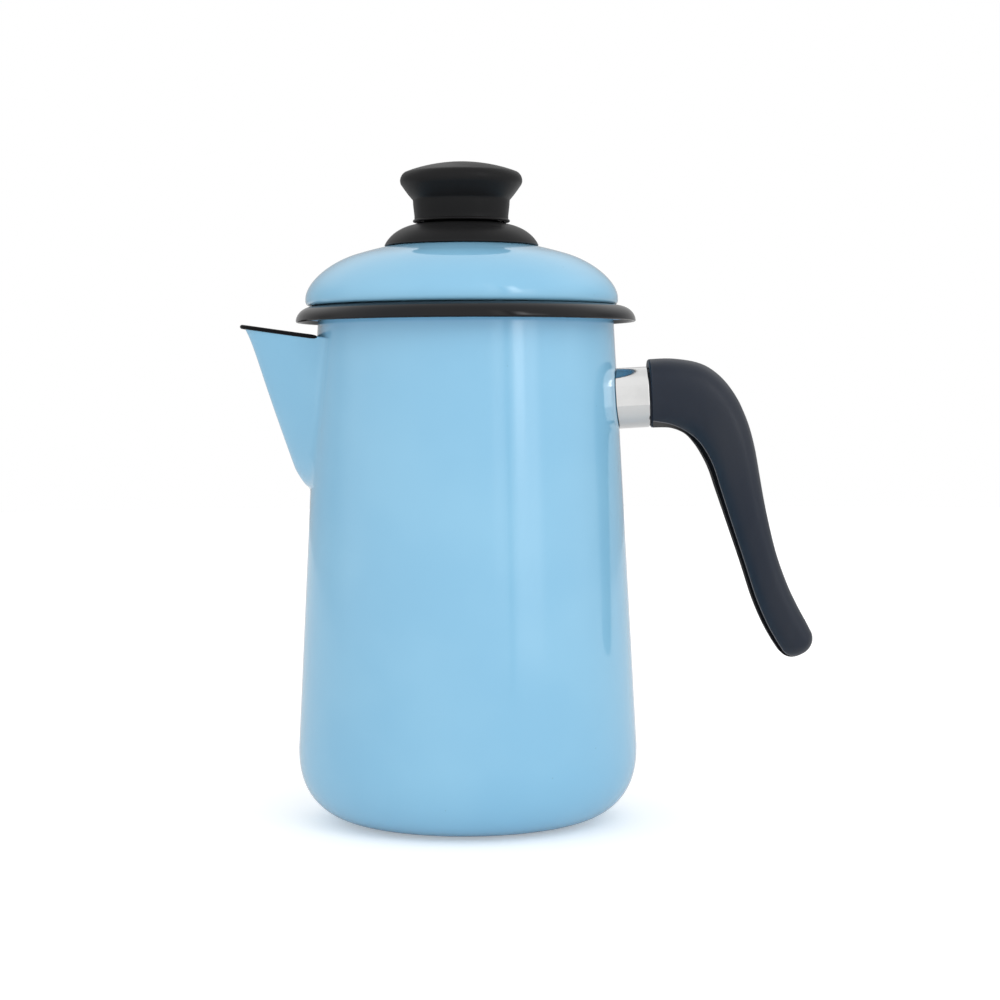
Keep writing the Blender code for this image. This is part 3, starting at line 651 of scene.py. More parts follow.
HANDLE_HEIGHT = 160.5 * MM  # where the ferrule's axis passes through the pot's wall
FERRULE_TILT = math.atan(TAPER)  # square to the tapered wall
FERRULE_END = 69.3 * MM  # along its axis, from the pot's
FERRULE_EDGE = 0.35 * MM
TENON_LENGTH = 6 * MM
TENON_ROOT = 3 * MM  # how far the tenon runs on inside the handle
SCREW_START = 59.7 * MM
SCREW_RADIUS = 2.5 * MM
SCREW_POINT = 0.4 * MM
COUNTERBORE = 5.5 * MM
HEAD_RADIUS = 4.5 * MM
HEAD_RIM, HEAD_DOME = 1.6 * MM, 0.9 * MM  # heights
HEAD_EDGE = 0.2 * MM
HEAD_SEAT = 93 * MM  # the counterbore's floor
LOCK_WASHER = 1.2 * MM
SLOT = 1.2 * MM  # width of the screws' slots
SLOT_LENGTH = 12 * MM
SLOT_FLOOR = 1.3 * MM  # above the screw head's underside
SQUARE = 3  # of the screw's dome and the lid's curl

# Stations down the handle, in millimetres: x, z, downward turn in degrees, half height and half width of the
# section, and where the inner edge's chamfer starts, as a share of the half height
STATIONS = (
    (69.7, 162.4, -3, 13, 12.8, 0.80),
    (78.5, 162.4, 3, 13.2, 13.2, 0.89),
    (87.2, 160, 16, 13.5, 13.2, 0.93),
    (93.7, 154.1, 31, 12.7, 13, 0.88),
    (98.1, 146.4, 45, 11.2, 12.6, 0.85),
    (101.1, 138.2, 58, 9.8, 12.2, 0.84),
    (103.7, 127.5, 70, 8.6, 11.6, 0.84),
    (106.6, 116.1, 74, 7.7, 11, 0.84),
    (111.2, 100, 72, 6.9, 10.4, 0.84),
    (115.5, 87.1, 68.5, 7.1, 10.2, 0.84),
    (119.4, 78.2, 63, 7.3, 10.3, 0.84),
    (122.8, 71.9, 60, 7.3, 10.2, 0.84),
    (125, 68.1, 60, 7.1, 9.8, 0.84),
)
STEPS = 7  # rings between two stations
TIP_LENGTH = 6.4  # millimetres
TIP_RINGS = 12
TIP_ANGLE = 86  # how far the tip closes, in degrees
EDGE_RINGS = 5
EDGE_ROUND = 0.9  # millimetres, at the ferrule's end
EGG = 0.14  # how much wider the section is towards its outer side
GRIP_SQUARE = 2.5
FLANK_SIDES = 26
SEAM = 0.20  # radius of the moulding seam along the chamfer's edge, in millimetres
SEAM_SIDES = 5
SEAM_START, SEAM_TURN = -30, 150  # degrees
INNER_FLAT = 0.4  # width of the flat inner face, as a share


def ferrule_frame():
    """The ferrule's axis as a matrix whose +Z points out along it, starting on the pot's axis."""
    root = Vector((wall_radius(HANDLE_HEIGHT), 0, HANDLE_HEIGHT))
    out = Vector((math.cos(FERRULE_TILT), 0, math.sin(FERRULE_TILT)))
    start = root - out * root.x / math.cos(FERRULE_TILT)
    return Matrix.Translation(start) @ Matrix.Rotation(math.radians(90) - FERRULE_TILT, 4, "Y")


def spline(values, position):
    """Catmull-Rom through rows of numbers. position counts in rows."""
    index = min(int(position), len(values) - 2)
    t = position - index
    rows = [values[min(max(index + k, 0), len(values) - 1)] for k in (-1, 0, 1, 2)]
    return [
        0.5 * (2 * b + (c - a) * t + (2 * a - 5 * b + 4 * c - d) * t * t + (3 * b - a - 3 * c + d) * t**3)
        for a, b, c, d in zip(*rows)
    ]


def grip_section(half_height, half_width, crease):
    """(out, across) round the section: wide outer side, moulding seams, chamfers and a flat inner face."""
    side = []
    last = math.pi - math.acos(crease ** (GRIP_SQUARE / 2))
    for i in range(FLANK_SIDES + 1):
        c, s = math.cos(last * i / FLANK_SIDES), math.sin(last * i / FLANK_SIDES)
        out = math.copysign(abs(c) ** (2 / GRIP_SQUARE), c)
        side.append((out * half_height, s ** (2 / GRIP_SQUARE) * half_width * (1 + EGG * out)))
    out, across = side.pop()
    for i in range(SEAM_SIDES + 1):
        turn = math.radians(SEAM_TURN * i / SEAM_SIDES + SEAM_START)
        side.append((out - SEAM * math.sin(turn), across + SEAM * (math.cos(turn) - 0.6)))
    drop = half_height + side[-1][0]
    side += [(-half_height, side[-1][1] - drop), (-half_height, side[-1][1] * INNER_FLAT)]
    return side + [(out, -across) for out, across in side[:0:-1]]


def grip_material(index, ring_index):
    """0 on the flanks and the rounded edge, 1 along the seams: painted highlight, 2 on the chamfers and inner
    face: painted shade.
    """
    if index < FLANK_SIDES or ring_index < EDGE_RINGS:
        return 0
    return 1 if index < FLANK_SIDES + SEAM_SIDES else 2


def grip_loop(station, shrink=0, ahead=0):
    """One closed loop of the handle, in metres. shrink is taken off the section all round, in mm."""
    x, z, turn, half_height, half_width, crease = station
    angle = math.radians(turn)
    along = Vector((math.cos(angle), 0, -math.sin(angle)))
    outward = Vector((math.sin(angle), 0, math.cos(angle)))
    centre = Vector((x, 0, z)) + along * ahead
    section = grip_section(half_height - shrink, half_width - shrink, crease)
    return [(centre + outward * out + Vector((0, across, 0))) * MM for out, across in section]


def grip_loops():
    """Loops from the rounded edge at the ferrule down to the rounded tip."""
    loops = []
    for i in range(EDGE_RINGS):
        angle = math.radians(90 * i / EDGE_RINGS)
        shrink, ahead = EDGE_ROUND * (1 - math.sin(angle)), EDGE_ROUND * (1 - math.cos(angle))
        loops.append(grip_loop(STATIONS[0], shrink, ahead))
    count = (len(STATIONS) - 1) * STEPS
    first = EDGE_ROUND / (STATIONS[1][0] - STATIONS[0][0])
    for i in range(count + 1):
        position = max(i / STEPS, first)
        loops.append(grip_loop(spline(STATIONS, position)))
    last = STATIONS[-1]
    for i in range(1, TIP_RINGS + 1):
        angle = math.radians(TIP_ANGLE * i / TIP_RINGS)
        share = 1 - math.cos(angle)
        squeezed = (*last[:3], last[3] * (1 - share), last[4] * (1 - share), last[5])
        loops.append(grip_loop(squeezed, ahead=TIP_LENGTH * math.sin(angle)))
    return loops


# The ferrule's section from top to bottom, in three faces: height share, width share
FERRULE_FACES = (
    ((1.00, 0.00), (1.00, 0.30), (0.985, 0.48), (0.93, 0.66), (0.82, 0.82), (0.66, 0.93), (0.41, 1.00)),
    ((0.41, 1.00), (-0.26, 0.985)),
    (
        (-0.26, 0.985), (-0.50, 0.89), (-0.70, 0.76), (-0.86, 0.58), (-0.96, 0.36), (-1.00, 0.15),
        (-1.00, 0.00),
    ),
)
FACE_STEPS = 4  # points between two of these
FERRULE_HALF_HEIGHT = 11.5 * MM
FERRULE_HALF_WIDTH = 12.6 * MM
FERRULE_SHEET = 0.8 * MM


def ferrule_section(inset):
    """Points round the section, with its top towards -X, which the ferrule's frame turns up."""
    height, width = FERRULE_HALF_HEIGHT - inset, FERRULE_HALF_WIDTH - inset
    faces = []
    for face in FERRULE_FACES:
        count = (len(face) - 1) * FACE_STEPS
        faces.append([spline(face, i / FACE_STEPS) for i in range(count + 1)])
    right = [(-up * height, across * width) for up, across in chain(*faces)]
    return right + [(x, -y) for x, y in right[-2:0:-1]]


def section_bar(inset, stops):
    """A closed bar of that section along the ferrule's axis. Each stop is (z, extra inset)."""
    bm = loft([[(x, y, z) for x, y in ferrule_section(inset + extra)] for z, extra in stops])
    bmesh.ops.recalc_face_normals(bm, faces=bm.faces)
    bm.transform(ferrule_frame())
    return bm


def wall_core():
    """The pot's tapered wall as a solid, a gap larger, for cutting saddles."""
    low, high = 100 * MM, 186 * MM
    return drill(wall_radius(low) + GAP, low, high, Matrix(), SIDES, wall_radius(high) + GAP)


def make_handle():
    """The ferrule, and the handle with its tenon and holes."""
    axis = ferrule_frame()
    edge = FERRULE_EDGE
    end = ((FERRULE_END - edge, 0), (FERRULE_END - edge * 0.3, edge * 0.3), (FERRULE_END, edge))
    stops = ((50 * MM, 0), *end)
    sleeve = tidy_mesh("ferrule_sleeve", section_bar(0, stops), [CHROME], sharp=12)
    cut(sleeve, [section_bar(FERRULE_SHEET, ((40 * MM, 0), (80 * MM, 0)))], sharp=12)
    cut(sleeve, [wall_core()], sharp=12)
    place(sleeve, "pot", "polished_steel", "ferrule")

    grip = loft(grip_loops(), grip_material)
    grip = tidy_mesh("handle_grip", grip, [GRIP, SEAM_PAINTED_HIGHLIGHT, INSIDE_PAINTED_SHADE], 35)
    stops = ((FERRULE_END - TENON_LENGTH, 0), (FERRULE_END + TENON_ROOT, 0))
    cut(grip, [section_bar(FERRULE_SHEET + GAP, stops)], "UNION", 30)
    cut(grip, [drill(SCREW_RADIUS + GAP, 50 * MM, 110 * MM, axis, 32)], sharp=30)
    cut(grip, [drill(COUNTERBORE, HEAD_SEAT, 115 * MM, axis, SMALL)], sharp=30)
    place(grip, "pot", "black_plastic", "handle")


def make_handle_fasteners():
    """The screw, its lock washer, and the CAD's own boss that takes it."""
    axis = ferrule_frame()
    washer_low = HEAD_SEAT + GAP
    washer_top = washer_low + LOCK_WASHER
    outline = ring(SCREW_RADIUS + GAP, HEAD_RADIUS, washer_low, washer_top)
    washer = turned("lock_washer", outline, [STEEL], SMALL)
    low = washer_top + GAP
    outline = chain(
        [(0, SCREW_START), (SCREW_RADIUS - SCREW_POINT, SCREW_START)],
        [(SCREW_RADIUS, SCREW_START + SCREW_POINT)],
        [(SCREW_RADIUS, low), (HEAD_RADIUS - HEAD_EDGE, low), (HEAD_RADIUS, low + HEAD_EDGE)],
        arc((0, low + HEAD_RIM), (HEAD_RADIUS, HEAD_DOME), 0, 90, 12, SQUARE),
    )
    screw = turned("grip_screw", outline, [STEEL, SLOT_PAINTED_SHADE], SMALL)
    cut_slot(screw, low + SLOT_FLOOR, low + 6 * MM)
    for piece, node in ((washer, "handle_lock_washer"), (screw, "handle_screw")):
        piece.data.transform(axis)
        place(piece, "pot", "polished_steel", node)
    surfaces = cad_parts["handle_boss"].data.materials
    surfaces.clear()
    surfaces.append(STEEL)


def ring(inner, outer, low, high, edge=0.15 * MM):
    """A washer's outline with its four corners eased."""
    return [
        (inner + edge, low), (outer - edge, low), (outer, low + edge), (outer, high - edge),
        (outer - edge, high), (inner + edge, high), (inner, high - edge), (inner, low + edge),
    ]


def cut_slot(screw, low, high):
    """Cuts a slot across a screw's head, and gives its faces the screw's second material, a dark steel that
    is painted shade.
    """
    bm = bmesh.new()
    size = Matrix.Diagonal((SLOT_LENGTH, SLOT, high - low, 1))
    bmesh.ops.create_cube(bm, size=1, matrix=Matrix.Translation((0, 0, (low + high) / 2)) @ size)
    cut(screw, [bm])
    slack = 0.01 * MM
    for face in screw.data.polygons:
        between = abs(face.center.y) < SLOT / 2 + slack
        inside = between and low - slack < face.center.z < high + slack
        face.material_index = 1 if inside else 0


# Lid and knob

CROWN_SPHERE = 135.8 * MM
CROWN_TOP = POT_HEIGHT + 25.7 * MM
CROWN_EDGE = 39 * MM  # where the crown turns into the shoulder
CROWN_LEAN = (11 * MM, -2.9 * MM)  # to the shoulder's first control point
SHOULDER_LEAN = 6.3 * MM
LID_RADIUS = 59.4 * MM
LID_CURL = 2.6 * MM
LID_GAP = 0.1 * MM  # between the curl and the pot's rim
LID_WIDEST = POT_HEIGHT + LID_GAP + LID_CURL
COLLAR_RADIUS = 53.3 * MM
COLLAR_LEAN = 2.4 * MM
COLLAR_DROP = 1.1 * MM
COLLAR_BEND = 3.5 * MM  # height of the bend from the curl into the collar
COLLAR_FOOT = POT_HEIGHT - 13.6 * MM
SCREW_HOLE = 2.7 * MM  # radius
LID_LOW, LID_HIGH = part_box("lid")
LID_SHIFT = (LID_LOW.x + LID_HIGH.x) / 2
KNOB_TOP = 250.5 * MM
KNOB_RADIUS = 23.5 * MM
KNOB_FOOT = 228.4 * MM
KNOB_EDGE = (KNOB_RADIUS - 2 * MM, KNOB_TOP - 4 * MM)  # where the dome turns into the lip
DOME_LEANS = ((8 * MM, KNOB_TOP), (15.8 * MM, KNOB_TOP - 1.7 * MM))
LIP_LEANS = ((KNOB_RADIUS - 0.5 * MM, KNOB_TOP - 4.9 * MM), (KNOB_RADIUS + 0.35 * MM, KNOB_TOP - 7.2 * MM))
LIP_FOOT = (KNOB_RADIUS - 0.8 * MM, KNOB_TOP - 8.9 * MM)
FLARE_LEANS = in_mm((21.5, 239.9), (20.1, 237.9))
WAIST, *WAIST_STEP = in_mm((18.55, 236.2), (18.42, 235.9), (18.38, 235.2))
NECK_CURVE = in_mm((18.3, 233.5), (18, 231.5), (17.85, 230))
FLANGE_TOP = (17.86 * MM, 228.75 * MM)
FLANGE_EDGE = in_mm((17.98, 228.10), (0.50, 0.46))  # centre and radii
KNOB_UNDER = in_mm(  # the foot, the hollow and the hole for the insert
    (17.2, 227.64), (16.4, 228.4), (14.5, 228.4), (14.5, 238.5), (7.5, 238.5), (7.5, 228.4), (4.3, 228.4),
    (4.3, 240), (0, 240),
)
SKIRT_RADIUS = 29.3 * MM
SKIRT_WALL = 2.2 * MM
SKIRT_RIM = 0.3 * MM  # height of its edge
SKIRT_LEANS = in_mm((27.6, 222.8), (22.8, 226.2))
SKIRT_TOP = KNOB_FOOT - GAP
SKIRT_SHOULDER = (16.9 * MM, SKIRT_TOP - 1.2 * MM)
SPIGOT_INNER, SPIGOT_OUTER = 9 * MM, 14 * MM
SPIGOT_TOP = SKIRT_TOP + 1.5 * MM
SEAL_RADIUS, SEAL_SHEET = 8 * MM, 1 * MM  # and the radius of the skirt's boss
WASHER_RADIUS, WASHER_SHEET = 7 * MM, 1 * MM
INSERT_RADIUS, INSERT_BORE, INSERT_TOP = 4 * MM, 2.3 * MM, 239.7 * MM

# The screw under the lid, an M4
M4_RADIUS, M4_TIP, M4_POINT = 2 * MM, 238 * MM, 0.3 * MM
M4_HEAD_RADIUS, M4_HEAD, M4_ROUND, M4_SLOT = 4 * MM, 2.6 * MM, 1.2 * MM, 1.1 * MM


def crown_height(radius):
    """Height of the lid's outer face near its centre, a shallow sphere."""
    return CROWN_TOP - CROWN_SPHERE + math.sqrt(CROWN_SPHERE**2 - radius**2)


def lid_outline():
    """Outer face from the screw hole over the shoulder, round the curl, down the collar and back inside."""
    radii = [SCREW_HOLE + (CROWN_EDGE - SCREW_HOLE) * i / 16 for i in range(17)]
    crown = [(r, crown_height(r)) for r in radii]
    widest = (LID_RADIUS, LID_WIDEST)
    start = crown[-1]
    leans = (start[0] + CROWN_LEAN[0], start[1] + CROWN_LEAN[1]), (LID_RADIUS, LID_WIDEST + SHOULDER_LEAN)
    shoulder = bezier(start, *leans, widest, 30)
    curl = arc((LID_RADIUS - LID_CURL, LID_WIDEST), (LID_CURL, LID_CURL), 0, -90, 14, SQUARE)
    seat = curl[-1]
    leans = (seat[0] - COLLAR_LEAN, seat[1]), (COLLAR_RADIUS, seat[1] - COLLAR_DROP)
    collar = bezier(seat, *leans, (COLLAR_RADIUS, seat[1] - COLLAR_BEND), 10)
    skirt = line(collar[-1], (COLLAR_RADIUS, COLLAR_FOOT + WALL / 2), 6)
    return sheet(chain(crown, shoulder, curl, collar, skirt), -WALL)


def lid_face(centre, normal):
    """0 is blue, for the outside, and 1 is black, for the inside."""
    radius, outward = facing(centre, normal)
    if centre.z < POT_HEIGHT + 0.2 * MM:
        return 0 if outward > 0.02 or (normal.z < -0.3 and radius > COLLAR_RADIUS + 0.2 * MM) else 1
    if radius > LID_RADIUS - WALL * 0.6:
        return 0
    if centre.z < LID_WIDEST:
        return 0 if normal.z < 0 or outward > 0.3 else 1
    return 0 if normal.z > 0 or outward > 0.4 else 1


def knob_outline():
    """Over the shallow dome, down the flare to the neck and its foot, and round the hollow underside."""
    dome = bezier((0, KNOB_TOP), *DOME_LEANS, KNOB_EDGE, 22)
    lip = bezier(KNOB_EDGE, *LIP_LEANS, LIP_FOOT, 12)
    flare = bezier(lip[-1], *FLARE_LEANS, WAIST, 12)
    neck = bezier(WAIST_STEP[-1], *NECK_CURVE, 8)
    foot = [FLANGE_TOP] + arc(*FLANGE_EDGE, 70, -90, 9)
    return chain(dome, lip, flare, WAIST_STEP, neck, foot, KNOB_UNDER)


def skirt_outline():
    """Underside from the screw hole to the rim, over its eased edge, and the outside up to the spigot."""
    rim = (SKIRT_RADIUS, crown_height(SKIRT_RADIUS) + GAP + SKIRT_RIM)
    outside = bezier(rim, *SKIRT_LEANS, SKIRT_SHOULDER, 24)
    boss_foot = CROWN_TOP + GAP
    boss = [(SCREW_HOLE, boss_foot), (SEAL_RADIUS, boss_foot), (SEAL_RADIUS, SKIRT_TOP - SKIRT_WALL)]
    under = [(r, z - SKIRT_WALL) for r, z in outside[::-1] if 17 * MM < r < SKIRT_RADIUS - 4 * MM]
    inner = SKIRT_RADIUS - SKIRT_WALL
    edge = [(inner, crown_height(inner) + GAP), (SKIRT_RADIUS - 0.35 * MM, crown_height(SKIRT_RADIUS) + GAP)]
    ease = 0.1 * MM
    spigot = [
        (SPIGOT_OUTER, SKIRT_TOP), (SPIGOT_OUTER, SPIGOT_TOP - ease), (SPIGOT_OUTER - ease, SPIGOT_TOP),
        (SPIGOT_INNER, SPIGOT_TOP), (SPIGOT_INNER, SKIRT_TOP), (SCREW_HOLE, SKIRT_TOP),
    ]
    return chain(boss, under, edge, outside, spigot)


def make_lid():
    """The lid, its knob and the fasteners under it, all on the lid's own axis."""
    seal_top = crown_height(SEAL_RADIUS) - WALL - GAP
    washer_top = seal_top - SEAL_SHEET - GAP
    head_top = washer_top - WASHER_SHEET - GAP
    head_low = head_top - M4_HEAD
    head = arc((0, head_low + M4_ROUND), (M4_HEAD_RADIUS, M4_ROUND), -90, 0, 10)
    shank = [(M4_HEAD_RADIUS, head_top), (M4_RADIUS, head_top), (M4_RADIUS, M4_TIP - M4_POINT)]
    shank += [(M4_RADIUS - M4_POINT, M4_TIP), (0, M4_TIP)]
    screw = turned("under_screw", chain(head, shank), [STEEL, SLOT_PAINTED_SHADE], SMALL)
    cut_slot(screw, head_low - 2 * MM, head_low + M4_SLOT)
    insert = ring(INSERT_BORE, INSERT_RADIUS, KNOB_FOOT, INSERT_TOP)
    seal = ring(INSERT_BORE, SEAL_RADIUS, seal_top - SEAL_SHEET, seal_top)
    washer = ring(INSERT_BORE, WASHER_RADIUS, washer_top - WASHER_SHEET, washer_top)
    pieces = (
        (turned("lid_shell", lid_outline(), [BLUE, BLACK], SIDES, 50, lid_face), "blue_enamel", "lid"),
        (turned("knob_grip", knob_outline(), [KNOB]), "black_plastic", "knob"),
        (turned("knob_dish", skirt_outline(), [KNOB]), "black_plastic", "knob_skirt"),
        (turned("brass_insert", insert, [BRASS], SMALL), "brass", "knob_insert"),
        (turned("seal", seal, [SILICONE], SMALL), "silicone", "knob_seal"),
        (turned("washer", washer, [STEEL], SMALL), "polished_steel", "knob_washer"),
        (screw, "polished_steel", "knob_screw"),
    )
    for piece, slot, node in pieces:
        piece.data.transform(Matrix.Translation((LID_SHIFT, 0, 0)))
        place(piece, "lid", slot, node)


# Pump, basket and spreader

PUMP_RADIUS = 34.5 * MM
PUMP_SHEET = 0.8 * MM
PUMP_FOOT = WALL + 0.5 * MM
PUMP_COLLAR = STEM_RADIUS + GAP + PUMP_SHEET
BELL_CURVE = in_mm((33, 9), (16, 10.5), (8.5, 13.5))
PUMP_NECK = ((6.5 * MM, 14.4 * MM), (PUMP_COLLAR, 15.2 * MM), (PUMP_COLLAR, 17.5 * MM))
PUMP_NECK_TOP = 23.6 * MM
NOTCHES = 6
NOTCH_RADIUS = 4 * MM
STEM_FOOT = 15 * MM
STEM_WALL = 0.75 * MM
STEM_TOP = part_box("pump_stem")[1].z
STOP_RADIUS, STOP_HEIGHT = 7.5 * MM, 3 * MM
TUBE_BORE = STEM_RADIUS + 0.4 * MM
TUBE_OUTER = TUBE_BORE + 0.7 * MM
TUBE_FLANGE = 8.5 * MM
TUBE_LOW = BASKET_FLOOR - 1 * MM
TUBE_TOP = BASKET_FLOOR + 34 * MM
BASKET_RADIUS = 43 * MM
BASKET_SHEET = 0.8 * MM
BASKET_FLANGE = 47.5 * MM
BASKET_CORNER = 3 * MM
BASKET_DRAFT = 1.5 * MM  # radius gained from floor to mouth
LIP_ROUND = 1.5 * MM
SPREADER_DROP = 5 * MM
SPREADER_PLAY = 0.6 * MM
SPREADER_ROUND = 1.2 * MM
SPREADER_COLLAR = 7.6 * MM
HOLE_RADIUS = 1.2 * MM
# Rings of holes through the basket's floor and the spreader: radius in millimetres, and count
FLOOR_RINGS = ((12.5, 12), (17.5, 16), (22.5, 22), (27.5, 28), (32.5, 32), (37, 36))


def floor_drills(low, high):
    """Rings of small holes through a level plate."""
    drills = []
    for ring_radius, count in FLOOR_RINGS:
        for i in range(count):
            angle = math.tau * (i + 0.5) / count
            x, y = ring_radius * MM * math.cos(angle), ring_radius * MM * math.sin(angle)
            drills.append(drill(HOLE_RADIUS, low, high, Matrix.Translation((x, y, 0)), 10))
    return drills


def make_pump():
    """The flared foot with its arches, the stem, and the collar on the stem that carries the basket."""
    bell = bezier((PUMP_RADIUS, PUMP_FOOT), *BELL_CURVE, 24)
    neck = bezier(bell[-1], *PUMP_NECK, 10)
    outline = sheet(chain(bell, neck, line(neck[-1], (PUMP_COLLAR, PUMP_NECK_TOP), 6)), PUMP_SHEET)
    base = turned("pump_foot", outline, [ALUMINIUM], FINE, 50)
    for i in range(NOTCHES // 2):
        lie = Matrix.Rotation(math.tau * (i + 0.5) / NOTCHES, 4, "Z") @ SIDEWAYS
        cut(base, [drill(NOTCH_RADIUS, -45 * MM, 45 * MM, lie, 32)])
    place(base, "pump", "aluminium", "pump_base")
    outline = ring(STEM_RADIUS - STEM_WALL, STEM_RADIUS, STEM_FOOT, STEM_TOP, 0.25 * MM)
    place(turned("stem_tube", outline, [ALUMINIUM], SMALL), "pump", "aluminium", "pump_stem")
    stop_top = TUBE_LOW - GAP
    outline = ring(STEM_RADIUS + GAP, STOP_RADIUS, stop_top - STOP_HEIGHT, stop_top, 0.5 * MM)
    place(turned("stop_collar", outline, [ALUMINIUM], SMALL), "pump", "aluminium", "basket_stop")


def make_basket():
    """The sleeve that slides on the stem, and the perforated cup round it."""
    ease = 0.2 * MM
    tube = [
        (TUBE_BORE, TUBE_LOW), (TUBE_FLANGE - 0.1 * MM, TUBE_LOW), (TUBE_FLANGE, TUBE_LOW + 0.1 * MM),
        (TUBE_FLANGE, BASKET_FLOOR - GAP), (TUBE_OUTER, BASKET_FLOOR - GAP), (TUBE_OUTER, TUBE_TOP - ease),
        (TUBE_OUTER - ease, TUBE_TOP), (TUBE_BORE, TUBE_TOP),
    ]
    place(turned("basket_sleeve", tube, [ALUMINIUM], SMALL), "basket", "aluminium", "basket_tube")
    bend = BASKET_CORNER
    lip_low = BASKET_TOP - BASKET_SHEET - LIP_ROUND
    floor = line((TUBE_OUTER + GAP, BASKET_FLOOR), (BASKET_RADIUS - bend, BASKET_FLOOR), 12)
    corner = arc((BASKET_RADIUS - bend, BASKET_FLOOR + bend), (bend, bend), -90, 0, 10)
    wall = line((BASKET_RADIUS, BASKET_FLOOR + bend), (BASKET_RADIUS + BASKET_DRAFT, lip_low), 16)
    lip = arc((BASKET_RADIUS + BASKET_DRAFT + LIP_ROUND, lip_low), (LIP_ROUND, LIP_ROUND), 180, 90, 8)
    edge = line(lip[-1], (BASKET_FLANGE - BASKET_SHEET / 2, BASKET_TOP - BASKET_SHEET), 2)
    outline = sheet(chain(floor, corner, wall, lip, edge), BASKET_SHEET)
    basket = turned("basket_cup", outline, [ALUMINIUM], FINE, 50)
    cut(basket, floor_drills(BASKET_FLOOR - 2 * MM, BASKET_FLOOR + 3 * MM))
    place(basket, "basket", "aluminium", "basket")


def make_spreader():
    """The perforated plate in the basket's mouth, with a collar round the stem."""
    top = BASKET_TOP + GAP
    plate = top - SPREADER_DROP
    drop = BASKET_RADIUS - SPREADER_PLAY
    collar = TUBE_BORE + BASKET_SHEET
    soft = SPREADER_ROUND
    rim = line((BASKET_FLANGE - BASKET_SHEET / 2, top), (drop + soft, top), 4)
    shoulder = arc((drop + soft, top - soft), (soft, soft), 90, 180, 8)
    step = arc((drop - soft, plate + soft), (soft, soft), 0, -90, 8)
    level = line((drop - soft, plate), (collar + soft, plate), 12)
    neck = arc((collar + soft, plate + soft), (soft, soft), -90, -180, 8)
    outline = chain(rim, shoulder, step, level, neck, [(collar, plate + SPREADER_COLLAR)])
    spreader = turned("spreader_plate", sheet(outline, -BASKET_SHEET), [ALUMINIUM], FINE, 50)
    cut(spreader, floor_drills(plate - 2 * MM, plate + 3 * MM))
    place(spreader, "spreader", "aluminium", "spreader")


# Camera, floor and light

CAMERA_AT = Vector((12.7, -900, 162)) * MM
CAMERA_DOWN = 0.0445  # radians
CAMERA_ROLL = 0.0045
LENS, SENSOR = 84.85, 36  # millimetres
FLOOR_RADIUS = 2.5
FLOOR_TOP = -0.2 * MM


def make_camera():
    lens = bpy.data.cameras.new("camera")
    lens.lens = LENS
    lens.sensor_width = SENSOR
    camera = linked("camera", lens)
    level = Matrix.Rotation(math.radians(90) - CAMERA_DOWN, 4, "X")
    camera.matrix_world = Matrix.Translation(CAMERA_AT) @ level @ Matrix.Rotation(-CAMERA_ROLL, 4, "Z")
    bpy.context.scene.camera = camera


def make_floor():
    bm = bmesh.new()
    lie = Matrix.Translation((0, 0, FLOOR_TOP))
    bmesh.ops.create_circle(bm, cap_ends=True, segments=96, radius=FLOOR_RADIUS, matrix=lie)
    tree = surface_tree("pale_floor")
    path = tree.add("LightPath").outputs
    colour = tree.mix(tree.noise(3, 2), (0.88, 0.88, 0.88), (0.87, 0.87, 0.87))
    colour = tree.mix(path["Is Glossy Ray"], colour, (0.68, 0.68, 0.68))
    pale = tree.finish(
        Base_Color=colour, Roughness=0.9, Specular_IOR_Level=0.1, Emission_Color=(1, 1, 1),
        Emission_Strength=tree.ramp(path["Is Camera Ray"], 0, 1, 0.10, 0.32),
    )
    floor = tidy_mesh("floor", bm, [pale])


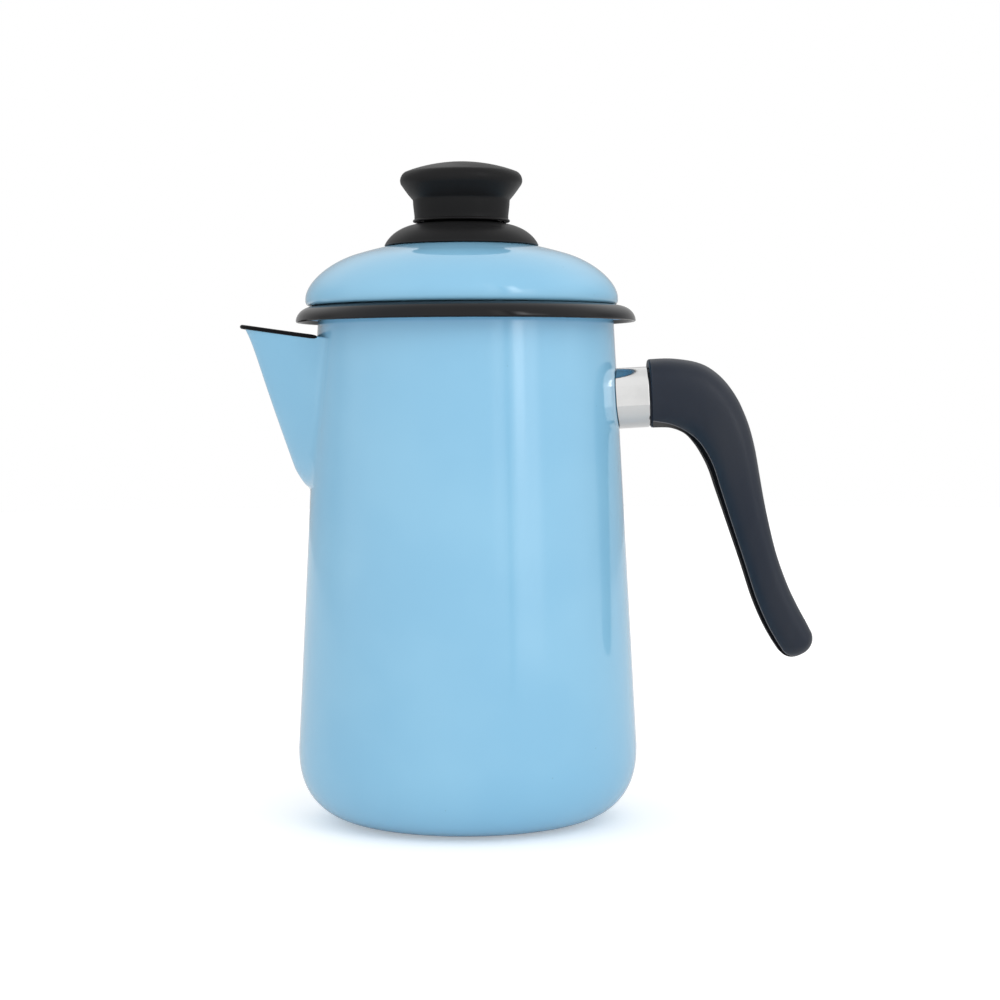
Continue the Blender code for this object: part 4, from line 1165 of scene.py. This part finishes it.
# Soft boxes of the studio: azimuth range and elevation range in degrees, softness, and strength, which is
# below 0 for a dark one. Azimuth 0 is towards the camera, and grows towards the handle's side.
SOFT_BOXES = (
    (36, 56, 0, 24, 4, 0.95),
    (37, 44, 21, 37, 2.5, 2.8),
    (37, 45, 4.5, 24, 2, 1.7),
    (20, 28, 2, 50, 3, 0.45),
    (30, 33.5, -4, 45, 1.5, -0.50),
    (100, 220, -90, 25, 14, -0.50),
    (-220, -100, -90, 25, 14, -0.50),
)
TENT, TOP_LIGHT = 1, -0.10  # everywhere, and added overhead
TOP_RANGE = (35, 80)  # elevations between which it comes in
KEY_AT, KEY_AIM = Vector((0.5, -1.3, 1.2)), Vector((0, 0, 0.1))
KEY_SIZE, KEY_POWER = 0.9, 3


def make_world():
    """A white tent with soft boxes, as a function of direction. The camera sees plain white behind."""
    world = bpy.data.worlds.new("studio")
    bpy.context.scene.world = world
    world.use_nodes = True
    world.node_tree.nodes.clear()
    tree = Tree(world)
    x, y, z = tree.add("SeparateXYZ", {0: tree.coordinates["Generated"]}).outputs
    azimuth = tree.math("ARCTAN2", x, tree.times(y, -1))
    azimuth = tree.times(azimuth, 180 / math.pi)
    elevation = tree.times(tree.math("ARCSINE", z), 180 / math.pi)
    total = tree.math("ADD", tree.times(tree.ramp(elevation, *TOP_RANGE), TOP_LIGHT), TENT)
    for az0, az1, el0, el1, soft, strength in SOFT_BOXES:
        within = []
        for value, start, end in ((azimuth, az0, az1), (elevation, el0, el1)):
            low = tree.ramp(value, start - soft, start + soft)
            high = tree.ramp(value, end + soft, end - soft)
            within.append(tree.times(low, high))
        box = tree.times(tree.times(*within), strength)
        total = tree.math("ADD", total, box)
    seen = tree.add("LightPath").outputs["Is Camera Ray"]
    shown = tree.add("Mix", {0: seen, 2: total, 3: 1.0}).outputs[0]
    background = tree.add("Background", {"Color": (1, 1, 1), "Strength": shown})
    tree.add("OutputWorld", {"Surface": background.outputs[0]})


def make_lights():
    """A large soft key from the right of the camera, above."""
    lamp = bpy.data.lights.new("key", "AREA")
    lamp.shape = "RECTANGLE"
    lamp.size, lamp.size_y = KEY_SIZE, KEY_SIZE
    lamp.energy = KEY_POWER
    key = linked("key", lamp)
    key.visible_camera = False
    key.visible_glossy = False
    key.location = KEY_AT
    key.rotation_euler = (KEY_AIM - KEY_AT).to_track_quat("-Z", "Y").to_euler()


make_camera()
make_world()
make_lights()
make_floor()
make_pot()
make_spout()
make_spout_lip()
make_handle()
make_handle_fasteners()
make_lid()
make_pump()
make_basket()
make_spreader()

bpy.context.scene.view_settings.view_transform = "Standard"
